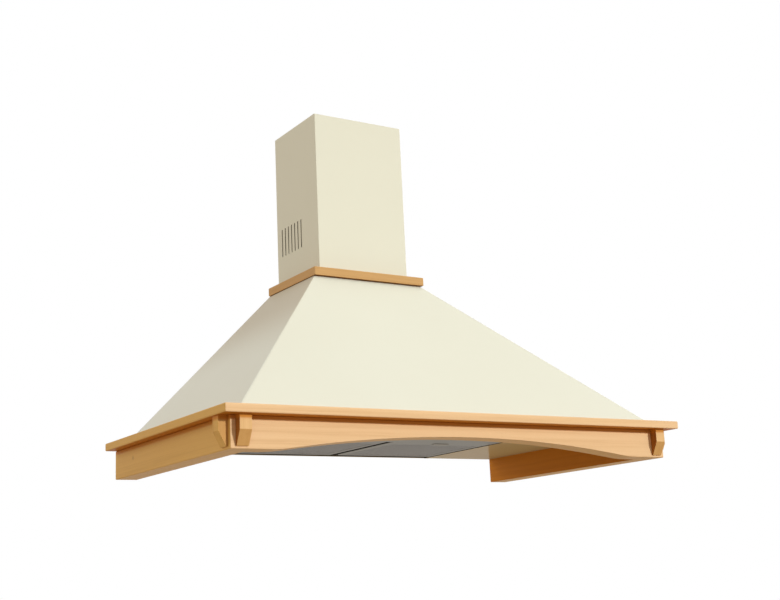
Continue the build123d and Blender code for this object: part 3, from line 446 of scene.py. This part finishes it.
def block(name, low, high):
    """A cube primitive between two corners."""
    piece = primitive(name, bpy.ops.mesh.primitive_cube_add, size=1.0)
    piece.scale = [b - a for a, b in zip(low, high)]
    return put(piece, [(a + b) / 2 for a, b in zip(low, high)])


def hollowed(piece, thickness):
    """Gives an open skin a wall on its inner side."""
    modified(piece, "wall", "SOLIDIFY", thickness=thickness, offset=-1.0, use_even_offset=True)


def cream_paint(name, roughness, gloss, fresh, aged, painted_shade_tint=None, painted_shade_tint_from=0.0, painted_shade_tint_to=0.0):
    """Powder coat: near-even colour, a very fine orange-peel surface and a semi-gloss shine.

    A third colour, painted shade, takes over with the height, where it is given."""
    finish, shader, place = new_finish(name, {"Specular IOR Level": gloss})
    cloud = noise(place, 5.0, 3.0)
    peel = noise(place, 420.0, 2.0)
    grit = noise(place, 1900.0, 1.0)
    colour = blended(cloud, fresh, aged)
    if painted_shade_tint:
        colour = blended(1.0 - step_down(height_of(place), painted_shade_tint_from, painted_shade_tint_to), colour, painted_shade_tint)
    colour.into(shader["Base Color"])
    (roughness - 0.05 + peel * 0.06 + grit * 0.04).into(shader["Roughness"])
    bumped(peel + grit * 0.3, 0.06, 0.00010).into(shader["Normal"])
    return finish


sheet = 0.001
close_to = 0.001  # how near a place is to a plane that it counts as lying on
low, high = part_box("canopy_front_panel")
foot_half, foot_front, foot_level, top_level = high.x, low.y, low.z, high.z
top_half, top_front = 0.1175, -0.180
back_face = -0.0012
ridge_radius, ridge_segments, ridge_smooth = 0.0022, 5, radians(35.0)
foot_flange_half, foot_flange_front = 0.393, -0.437
top_flange_half, top_flange_front = 0.084, -0.150
rear_flange = 0.016
canopy = block("canopy_shell", (-foot_half, foot_front, foot_level), (foot_half, back_face, top_level))
picked(canopy, "VERT", lambda p: p.z > top_level - close_to)
bpy.ops.transform.resize(value=(top_half / foot_half, 1.0, 1.0), center_override=(0.0, 0.0, top_level))
picked(canopy, "VERT", lambda p: p.z > top_level - close_to and p.y < top_front)
bpy.ops.transform.translate(value=(0.0, top_front - foot_front, 0.0))
picked(canopy, "FACE", lambda p: abs(p.z - foot_level) < close_to or abs(p.z - top_level) < close_to
       or p.y > back_face - close_to)
bpy.ops.mesh.delete(type="ONLY_FACE")
for level, half, front, inner_half, inner_front in (
        (foot_level, foot_half, foot_front, foot_flange_half, foot_flange_front),
        (top_level, top_half, top_front, top_flange_half, top_flange_front)):
    picked(canopy, "EDGE", lambda p: abs(p.z - level) < close_to and p.y < back_face - close_to)
    bpy.ops.mesh.extrude_edges_move()
    bpy.ops.transform.resize(value=(inner_half / half, 1.0, 1.0), center_override=(0.0, 0.0, level))
    picked(canopy, "VERT", lambda p: abs(p.z - level) < close_to and abs(abs(p.x) - inner_half) < close_to
           and p.y < back_face - close_to)
    bpy.ops.transform.translate(value=(0.0, inner_front - front, 0.0))
for way in (-1, 1):
    picked(canopy, "EDGE", lambda p: p.y > back_face - close_to and way * p.x > top_half
           and foot_level + close_to < p.z < top_level - close_to)
    bpy.ops.mesh.extrude_edges_move(TRANSFORM_OT_translate={"value": (-way * rear_flange, 0.0, 0.0)})
picked(canopy, "EDGE", lambda p: abs(p.y - (foot_front + top_front) / 2) < close_to
       and abs(abs(p.x) - (foot_half + top_half) / 2) < close_to)
bpy.ops.mesh.bevel(offset=ridge_radius, segments=ridge_segments, affect="EDGES", clamp_overlap=False)
bpy.ops.mesh.select_all(action="SELECT")
bpy.ops.mesh.normals_make_consistent(inside=False)
put(canopy)
hollowed(canopy, sheet)
bpy.ops.object.shade_smooth_by_angle(angle=ridge_smooth)
satin, satin_gloss = 0.42, 0.06
side_slant = 0.4  # the side faces' normals point sideways by more than this
cream = cream_paint("cream_paint", satin, satin_gloss, (0.772, 0.748, 0.620, 1.0), (0.752, 0.722, 0.590, 1.0))
# The side faces' lighter cream is painted light, and its darkening towards the top is painted shade.
side_cream = cream_paint("side_cream_paint", satin, satin_gloss, (0.815, 0.800, 0.690, 1.0),
                         (0.785, 0.765, 0.645, 1.0), painted_shade_tint=(0.62, 0.55, 0.42, 1.0),
                         painted_shade_tint_from=0.12, painted_shade_tint_to=0.26)
fitted(canopy, "hood", "cream_paint", cream, "canopy_front_panel", "canopy_left_panel", "canopy_right_panel")
refinished(canopy, side_cream, lambda face: abs(face.normal.x) > side_slant)


# ---- Back panel ----
# Bare galvanised steel sheet closes the canopy against the wall. Two doubler plates, welded to it,
# stiffen the holes that the hood hangs by.
def galvanised(name, shade):
    """Zinc-coated sheet: dull metal with faint spangles of slightly different grey and gloss."""
    finish, shader, place = new_finish(name, {"Metallic": 1.0})
    spangle = place.node("TexVoronoi", {}, {"Vector": place, "Scale": 150.0, "Randomness": 1.0}, 1)
    grey = place.node("SeparateColor", {}, {"Color": spangle})
    smear = noise(place, 24.0, 3.0)
    dark = (shade * 0.86, shade * 0.87, shade * 0.88, 1.0)
    light = (shade, shade * 1.01, shade * 1.02, 1.0)
    blended(grey * 0.6 + smear * 0.4, dark, light).into(shader["Base Color"])
    (0.34 + grey * 0.12 + smear * 0.10).into(shader["Roughness"])
    bumped(smear, 0.10, 0.0002).into(shader["Normal"])
    return finish


zinc = galvanised("galvanised_steel", 0.56)
painted(zinc, "back_panel", "hanging_plates")


# ---- Underside pan ----
# A shallow tray of the same painted sheet closes the canopy from below. A raised bead runs round the
# filters' opening, and its edges are folded up and screwed to the frame.
pan_edge = 0.0003
pan = eased(whole_copy("pan_tray", "underside_pan"), pan_edge)
# The pan's cream is darker and warmer than the canopy's: painted shade for the underside.
gloss_cream = cream_paint("gloss_cream_paint", 0.20, 0.004, (0.58, 0.46, 0.26, 1.0), (0.55, 0.43, 0.24, 1.0))
fitted(pan, "hood", "cream_paint", gloss_cream, "underside_pan")


# ---- Filter rail and rear seal ----
# A folded steel tee lies between and in front of the filters and carries their inner hinge pins. A black
# rubber strip seals the gap behind them. The upright sides of the tee and the walls of the pan's opening take
# the same dark colour, as painted shade in the gaps.
def rubber(name):
    """Dark foam rubber, matt and finely pitted."""
    finish, shader, place = new_finish(name, {"Specular IOR Level": 0.02})
    pits = place.node("TexVoronoi", {}, {"Vector": place, "Scale": 900.0, "Randomness": 1.0})
    dust = noise(place, 60.0, 4.0)
    clean, dusty = (0.020, 0.018, 0.015, 1.0), (0.055, 0.050, 0.042, 1.0)
    blended(dust * 0.6 + pits * 0.3, clean, dusty).into(shader["Base Color"])
    (0.75 + dust * 0.15).into(shader["Roughness"])
    bumped(pits, 0.5, 0.0003).into(shader["Normal"])
    return finish


def brushed(name, shade, roughness, along, edge=1.0):
    """Satin metal with fine brush lines that run along X or Y; a low edge value dulls its grazing shine."""
    finish, shader, place = new_finish(name, {"Metallic": 1.0, "Specular Tint": (edge, edge, edge, 1.0)})
    stretch = (40.0, 2600.0, 2600.0) if along == "X" else (2600.0, 40.0, 2600.0)
    lines = noise(stretched(place, stretch), 1.0, 2.0)
    smear = noise(place, 18.0, 3.0)
    blended(lines * 0.5 + smear * 0.5, shade_of(shade, 0.84), shade_of(shade, 1.0)).into(shader["Base Color"])
    (roughness + lines * 0.12 + smear * 0.08).into(shader["Roughness"])
    bumped(lines, 0.12, 0.00008).into(shader["Normal"])
    return finish


rail_edge = 0.0002
rail_side_reach = 0.02  # the tee's upright sides lie nearer to the middle of the hood than this
pan_side_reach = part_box("rear_seal")[1].x + 0.001
rail = eased(whole_copy("filter_rail_tee", "filter_rail"), rail_edge)
filter_metal = brushed("filter_aluminium", (0.47, 0.44, 0.385), 0.30, "X", 0.5)
fitted(rail, "hood", "plated_steel", filter_metal, "filter_rail")
rubber_and_painted_gap_shade = rubber("seal_rubber")
painted(rubber_and_painted_gap_shade, "rear_seal")
# Painted shade: the tee's upright sides and the pan's opening walls take the dark rubber colour.
for sheet_metal, reach in ((rail, rail_side_reach), (pan, pan_side_reach)):
    refinished(sheet_metal, rubber_and_painted_gap_shade,
               lambda face: abs(face.normal.x) > square_on and abs(face.center.x) < reach)


# ---- Grease filters ----
# Each is a frame of rolled aluminium round a pack of expanded mesh with creased foil between its two
# faces. The frames turn on pins at the back.
cell_long, cell_short, strand = 0.0088, 0.0046, 0.00085
mesh_thick = 0.00045
weld_gap = 0.00002


def expanded_face(name, low, high, level):
    """One face of expanded metal: a diamond cell, cut from a plane and repeated over a window."""
    piece = primitive(name, bpy.ops.mesh.primitive_circle_add, vertices=4, radius=0.5, fill_type="NGON")
    piece.scale = (cell_long, cell_short, 1.0)
    put(piece, (low.x, low.y, level))
    picked(piece, "FACE", lambda p: True)
    bpy.ops.mesh.inset(thickness=strand / 2, depth=0.0)
    bpy.ops.mesh.delete(type="FACE")
    bpy.ops.object.mode_set(mode="OBJECT")
    wide, deep = int((high.x - low.x) / cell_long) + 2, int((high.y - low.y) / cell_short) + 2
    for label, count, step in (("half_step", 2, (cell_long / 2, cell_short / 2, 0.0)),
                               ("across", wide, (cell_long, 0.0, 0.0)),
                               ("back", deep, (0.0, cell_short, 0.0))):
        modified(piece, label, "ARRAY", count=count, use_relative_offset=False, use_constant_offset=True,
                 constant_offset_displace=step, use_merge_vertices=True, merge_threshold=weld_gap)
    for edge, way in ((low.x, (-1, 0, 0)), (high.x, (1, 0, 0)), (low.y, (0, -1, 0)), (high.y, (0, 1, 0))):
        picked(piece, "FACE", lambda p: True)
        bpy.ops.mesh.bisect(plane_co=(edge, edge, level), plane_no=way, clear_outer=True, use_fill=False)
    bpy.ops.object.mode_set(mode="OBJECT")
    hollowed(piece, mesh_thick)
    return piece


def creased_foil(name, low, high, level, swing):
    """A foil sheet folded in small waves, seen through the mesh."""
    piece = primitive(name, bpy.ops.mesh.primitive_grid_add, x_subdivisions=76, y_subdivisions=68, size=1.0)
    piece.scale = (high.x - low.x, high.y - low.y, 1.0)
    put(piece, ((low.x + high.x) / 2, (low.y + high.y) / 2, level))
    for point in piece.data.vertices:
        x, y = point.co.x * 1000.0, point.co.y * 1000.0
        point.co.z += swing * (sin(x * 0.95 + 1.3 * sin(y * 0.31)) + sin(y * 1.30 + 1.7 * sin(x * 0.23))) / 2
    return piece


surround_edge = 0.0004
foil_swing = 0.0010
mesh_metal = brushed("filter_mesh_aluminium", (0.56, 0.535, 0.50), 0.34, "X", 0.8)
foil_metal = brushed("filter_foil", (0.30, 0.285, 0.265), 0.42, "Y")
for side in ("left", "right"):
    surround = eased(whole_copy("filter_surround_" + side, "filter_frame_" + side), surround_edge)
    fitted(surround, "filter_" + side, "filter_aluminium", filter_metal, "filter_frame_" + side)
    low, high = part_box("filter_mesh_" + side)
    lower_face = expanded_face("filter_mesh_lower_" + side, low, high, low.z + mesh_thick)
    upper_face = expanded_face("filter_mesh_upper_" + side, low, high, high.z)
    foil = creased_foil("filter_foil_" + side, low, high, (low.z + high.z) / 2, foil_swing)
    fitted(lower_face, "filter_" + side, "filter_aluminium", mesh_metal, "filter_mesh_" + side)
    fitted(upper_face, "filter_" + side, "filter_aluminium", mesh_metal)
    fitted(foil, "filter_" + side, "filter_aluminium", foil_metal)


# ---- Filter latches ----
# A slim finger plate under each filter slides a spring-steel tongue that holds the filter shut. Two
# ridges on the plate give the finger its grip.
latch_edge, ridge_edge = 0.00025, 0.0004
ridge_places, ridge_width, ridge_margin = (0.0030, 0.0065), 0.0016, 0.005
ridge_stands, ridge_sinks = 0.0005, 0.0004
steel_blade = brushed("spring_steel", (0.46, 0.47, 0.49), 0.26, "Y")
for side in ("left", "right"):
    plate = eased(whole_copy("latch_plate_" + side, "latch_handle_" + side), latch_edge)
    low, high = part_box("latch_handle_" + side)
    for offset in ridge_places:
        ridge = block("ridge", (low.x + ridge_margin, low.y + offset, low.z - ridge_stands),
                      (high.x - ridge_margin, low.y + offset + ridge_width, low.z + ridge_sinks))
        eased(ridge, ridge_edge, 3)
        plate.select_set(True)
        bpy.context.view_layer.objects.active = plate
        bpy.ops.object.join()
    fitted(plate, "latch_" + side, "filter_aluminium", filter_metal, "latch_handle_" + side)
    painted(steel_blade, "latch_tongue_" + side)


# ---- Lamps ----
# Two round downlights in pressed, satin-chromed housings. Each has a frosted glass with pressed rings
# over a capsule bulb on a pale ceramic base.
def satin_chrome(name):
    """Soft bright metal with the faint cloud of a pressed and plated part."""
    finish, shader, place = new_finish(name, {"Metallic": 1.0})
    cloud = noise(place, 70.0, 3.0)
    blended(cloud, (0.55, 0.55, 0.545, 1.0), (0.64, 0.64, 0.63, 1.0)).into(shader["Base Color"])
    (0.16 + cloud * 0.12).into(shader["Roughness"])
    bumped(cloud, 0.05, 0.0001).into(shader["Normal"])
    return finish


def frosted_glass(name, roughness, tint):
    """Sand-blasted glass: clear inside, with a soft grain on its face."""
    finish, shader, place = new_finish(name, {"Transmission Weight": 0.75, "IOR": 1.5})
    grain = noise(place, 1400.0, 2.0)
    blended(grain, tint, shade_of(tint, 0.95)).into(shader["Base Color"])
    (roughness + grain * 0.12).into(shader["Roughness"])
    bumped(grain, 0.25, 0.00006).into(shader["Normal"])
    return finish


def ringed(steps, way):
    """Insets the picked face by each step's width and then moves it by the step's depth, along a way."""
    for inset, depth in steps:
        bpy.ops.mesh.inset(thickness=inset, depth=0.0)
        bpy.ops.transform.translate(value=[part * depth for part in way])


housing_edge, lens_edge = 0.0002, 0.00018
upwards = (0.0, 0.0, 1.0)
lens_rings = ((0.0035, 0.0), (0.0006, 0.0005), (0.0050, 0.0), (0.0006, -0.0005), (0.0050, 0.0),
              (0.0006, 0.0005), (0.0045, 0.0), (0.0030, -0.0002))
at_face = 0.0001  # the same as close_to, for small parts
housing = eased(whole_copy("lamp_cups", "lamp_housings"), housing_edge)
fitted(housing, "hood", "lamp_metal", satin_chrome("lamp_chrome"), "lamp_housings")
lens_glass = frosted_glass("lens_glass", 0.38, (0.86, 0.86, 0.83, 1.0))
low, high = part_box("lamp_lenses")
lens_radius = (high.y - low.y) / 2
lens_out = high.x - lens_radius
lens = primitive("lens_right", bpy.ops.mesh.primitive_cylinder_add, vertices=72, radius=lens_radius,
                 depth=high.z - low.z)
put(lens, (lens_out, (low.y + high.y) / 2, (low.z + high.z) / 2))
picked(lens, "FACE", lambda p: p.z < low.z + at_face)
ringed(lens_rings, upwards)
put(lens)
eased(lens, lens_edge)
bpy.ops.object.duplicate()
other_lens = bpy.context.object
other_lens.name = "lens_left"
put(other_lens, (-2 * lens_out, 0.0, 0.0))
fitted(lens, "hood", "lens_glass", lens_glass, "lamp_lenses")
fitted(other_lens, "hood", "lens_glass", lens_glass)
painted(frosted_glass("bulb_glass", 0.05, (0.93, 0.92, 0.88, 1.0)), "lamp_bulbs")


# ---- Switch block ----
# A moulded grey block with five round push buttons lies across the pan ahead of the filters. Each button
# has a dished face and sits in its own ring.
def moulded(name, shade, roughness, grain_depth):
    """Injection-moulded plastic with an even colour and a fine spark-eroded grain."""
    finish, shader, place = new_finish(name, {"Specular IOR Level": 0.45})
    grain = noise(place, 1700.0, 2.0)
    flow = noise(place, 22.0, 3.0)
    blended(flow * 0.7 + grain * 0.3, shade_of(shade, 0.88), shade_of(shade, 1.08)).into(shader["Base Color"])
    (roughness + grain * 0.10 + flow * 0.05).into(shader["Roughness"])
    bumped(grain, 0.25, grain_depth).into(shader["Normal"])
    return finish


block_edge, cap_edge = 0.0004, 0.0003
grey_plastic = moulded("grey_plastic", (0.28, 0.28, 0.275), 0.42, 0.00006)
switch = eased(whole_copy("switch_block", "switch_housing"), block_edge, 3)
fitted(switch, "hood", "grey_plastic", grey_plastic, "switch_housing")
button_plastic = moulded("button_plastic", (0.60, 0.60, 0.59), 0.24, 0.00002)
low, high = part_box("button_1")
stem_radius, collar_radius, collar_height = 0.007, (high.x - low.x) / 2, 0.003
dish = ((0.0009, 0.0), (0.0007, 0.00025), (0.0012, 0.0003), (0.0016, 0.0002), (0.0014, 0.0001))
button = primitive("push_button", bpy.ops.mesh.primitive_cylinder_add, vertices=48, radius=collar_radius,
                   depth=collar_height)
put(button, ((low.x + high.x) / 2, (low.y + high.y) / 2, high.z - collar_height / 2))
picked(button, "FACE", lambda p: p.z < high.z - collar_height + at_face)
bpy.ops.mesh.inset(thickness=collar_radius - stem_radius, depth=0.0)
bpy.ops.mesh.extrude_region_move(TRANSFORM_OT_translate={"value": (0.0, 0.0, low.z - high.z + collar_height)})
ringed(dish, upwards)
put(button)
eased(button, cap_edge, 3)
first_place, button_count = low.x, 5
for number in range(1, button_count + 1):
    only(button)
    bpy.ops.object.duplicate()
    cap = bpy.context.object
    cap.name = "push_button_cap_" + str(number)
    put(cap, (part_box("button_" + str(number))[0].x - first_place, 0.0, 0.0))
    fitted(cap, "push_button_" + str(number), "button_plastic", button_plastic, "button_" + str(number))
bpy.data.objects.remove(button)


# ---- Chimney cover ----
# Two folded U-shaped covers in the same cream paint telescope to the ceiling. The lower one has seven upright
# vent slots low on each side, their walls painted near black as painted shade, and returns against the wall.
# A plated bracket holds the upper one.
cover_edge = 0.0002
vent_low, vent_high, vent_front, vent_rear = top_level + 0.075, top_level + 0.135, -0.105, -0.010
slot_wall = 0.5  # the slots' walls have normals that point sideways by less than this
cover = eased(whole_copy("chimney_cover", "chimney_outer"), cover_edge)
fitted(cover, "hood", "cream_paint", cream, "chimney_outer")
# Painted shade: the vent slots' walls are painted near black.
slot_painted_shade = cream_paint("slot_painted_shade_edge", 0.60, 0.02, (0.034, 0.026, 0.014, 1.0), (0.055, 0.042, 0.022, 1.0))
refinished(cover, slot_painted_shade, lambda face: vent_low < face.center.z < vent_high
           and vent_front < face.center.y < vent_rear and abs(face.normal.x) < slot_wall)
extension = eased(whole_copy("chimney_extension_cover", "chimney_inner"), cover_edge)
fitted(extension, "chimney_extension", "cream_paint", cream, "chimney_inner")
painted(zinc, "chimney_wall_bracket")


# ---- Wooden collar ----
# Three beech strips, mitred at the front corners and screwed on from below, hide the joint between chimney
# and canopy. Their undersides are painted dark brown as painted shade.
collar_beech = (0.61, 0.36, 0.15)
collar_heart = (0.0, 0.3, 0.1)
collar_edge = 0.0004
collar_across = beech("collar_across", collar_beech, along_x, collar_heart)
collar_deep = beech("collar_deep", collar_beech, along_y, collar_heart)
# A dark brown copy of the beech, for painted shade on the strips' undersides.
collar_painted_shade = beech("collar_painted_shade", (0.22, 0.085, 0.02), along_x, collar_heart)
for side, finish in (("front", collar_across), ("left", collar_deep), ("right", collar_deep)):
    strip = eased(whole_copy("collar_" + side + "_strip", "collar_" + side), collar_edge)
    fitted(strip, "hood", "beech", finish, "collar_" + side)
    refinished(strip, collar_painted_shade, lambda face: face.normal.z < -square_on)


# ---- Blower ----
# A galvanised scroll casing with a double-inlet wheel of forward-leaning blades. The motor hangs on a
# three-armed spider in the left inlet; its can has cooling ribs along it.
painted(zinc, "blower_scroll", "blower_left_plate", "blower_right_plate", "motor_spider")
wheel_plastic = moulded("wheel_plastic", (0.10, 0.105, 0.11), 0.45, 0.00008)
painted(wheel_plastic, "blower_wheel")
ground_steel = brushed("screw_steel", (0.58, 0.57, 0.545), 0.24, "X")
painted(ground_steel, "motor_shaft", "damper_pin", "frame_screws", "collar_screws", "plate_screws")


def cast_metal(name, shade):
    """Painted casting: coarse sand texture under a thin dull coat, rubbed lighter on high spots."""
    finish, shader, place = new_finish(name, {"Specular IOR Level": 0.4})
    sand = noise(place, 520.0, 4.0, 0.65)
    dust = noise(place, 30.0, 3.0)
    dark = (shade * 0.75, shade * 0.75, shade * 0.78, 1.0)
    light = (shade * 1.5, shade * 1.5, shade * 1.5, 1.0)
    blended(sand * 0.5 + dust * 0.4, dark, light).into(shader["Base Color"])
    (0.50 + sand * 0.20).into(shader["Roughness"])
    bumped(sand, 0.45, 0.0003).into(shader["Normal"])
    return finish


low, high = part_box("motor_body")
can_radius, can_length = (high.z - low.z) / 2, high.x - low.x
middle = (low + high) / 2
rib_count, rib_depth, rib_taper, end_cap = 32, 0.0016, 0.0003, 0.009
can_edge, can_angle = 0.0005, 50.0
end_rings = ((0.0050, 0.0), (0.0012, 0.0014), (0.0180, 0.0), (0.0012, -0.0014), (0.0040, 0.0))
sides_per_rib = 4
side_angle = 2 * pi / (rib_count * sides_per_rib)
first_side = Matrix.Rotation(2 * side_angle, 4, "X")


def in_groove(p):
    """Two of the can's sides lie in a groove between ribs for every two that stand on a rib."""
    angle = (first_side @ (p - middle)).yz.angle_signed(Vector((1.0, 0.0)))
    return abs(p.x - middle.x) < end_cap and angle // side_angle % sides_per_rib < sides_per_rib / 2


motor = primitive("motor_can", bpy.ops.mesh.primitive_cylinder_add, vertices=rib_count * sides_per_rib,
                  radius=can_radius, depth=can_length, rotation=(0.0, pi / 2, 0.0))
put(motor, middle)
for place in (low.x + end_cap, high.x - end_cap):
    picked(motor, "FACE", lambda p: True)
    bpy.ops.mesh.bisect(plane_co=(place, 0.0, 0.0), plane_no=(1.0, 0.0, 0.0))
picked(motor, "FACE", in_groove)
bpy.ops.mesh.inset(thickness=rib_taper, depth=-rib_depth, use_even_offset=True)
for end, way in ((low.x, (1.0, 0.0, 0.0)), (high.x, (-1.0, 0.0, 0.0))):
    picked(motor, "FACE", lambda p: abs(p.x - end) < at_face)
    ringed(end_rings, way)
put(motor)
eased(motor, can_edge, angle=can_angle)
fitted(motor, "hood", "motor_casting", cast_metal("motor_casting", 0.11), "motor_body")


# ---- Outlet ----
# A galvanised plate closes the canopy's top. It carries a black moulded duct collar with two hinged
# damper flaps, and the gland through which the mains lead leaves upwards.
spigot_edge = 0.0003
painted(zinc, "duct_plate")
black_plastic = moulded("black_plastic", (0.035, 0.035, 0.037), 0.45, 0.00008)
painted(black_plastic, "damper_flap_front", "damper_flap_rear")
for name, node in (("duct_collar", "outlet_spigot"), ("mains_gland", "cable_gland")):
    fitted(eased(whole_copy(name, node), spigot_edge), "hood", "black_plastic", black_plastic, node)


# ---- Terminal box ----
# A black moulded box on the back panel holds the control board and the capacitor. A groove runs round it
# where the case meets its screwed lid, and the lid has a shallow sunk panel.
low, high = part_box("terminal_box")
lid_line, lid_lip, corner_round = 0.006, 0.0008, 0.003
case_edge = 0.0003
lid_panel = ((0.0060, 0.0), (0.0008, 0.0006))
box = block("terminal_case", low, high)
picked(box, "EDGE", lambda p: abs(abs(p.x - (low.x + high.x) / 2) - (high.x - low.x) / 2) < at_face
       and abs(abs(p.z - (low.z + high.z) / 2) - (high.z - low.z) / 2) < at_face)
bpy.ops.mesh.bevel(offset=corner_round, segments=4, affect="EDGES")
for line in (low.y + lid_line, low.y + lid_line + lid_lip):
    picked(box, "FACE", lambda p: True)
    bpy.ops.mesh.bisect(plane_co=(0.0, line, 0.0), plane_no=(0.0, 1.0, 0.0))
picked(box, "FACE", lambda p: abs(p.y - (low.y + lid_line + lid_lip / 2)) < lid_lip / 4)
bpy.ops.mesh.extrude_region_shrink_fatten(TRANSFORM_OT_shrink_fatten={"value": -lid_lip})
picked(box, "FACE", lambda p: p.y < low.y + at_face)
ringed(lid_panel, (0.0, 1.0, 0.0))
put(box)
eased(box, case_edge)
fitted(box, "hood", "black_plastic", black_plastic, "terminal_box")

low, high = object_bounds()
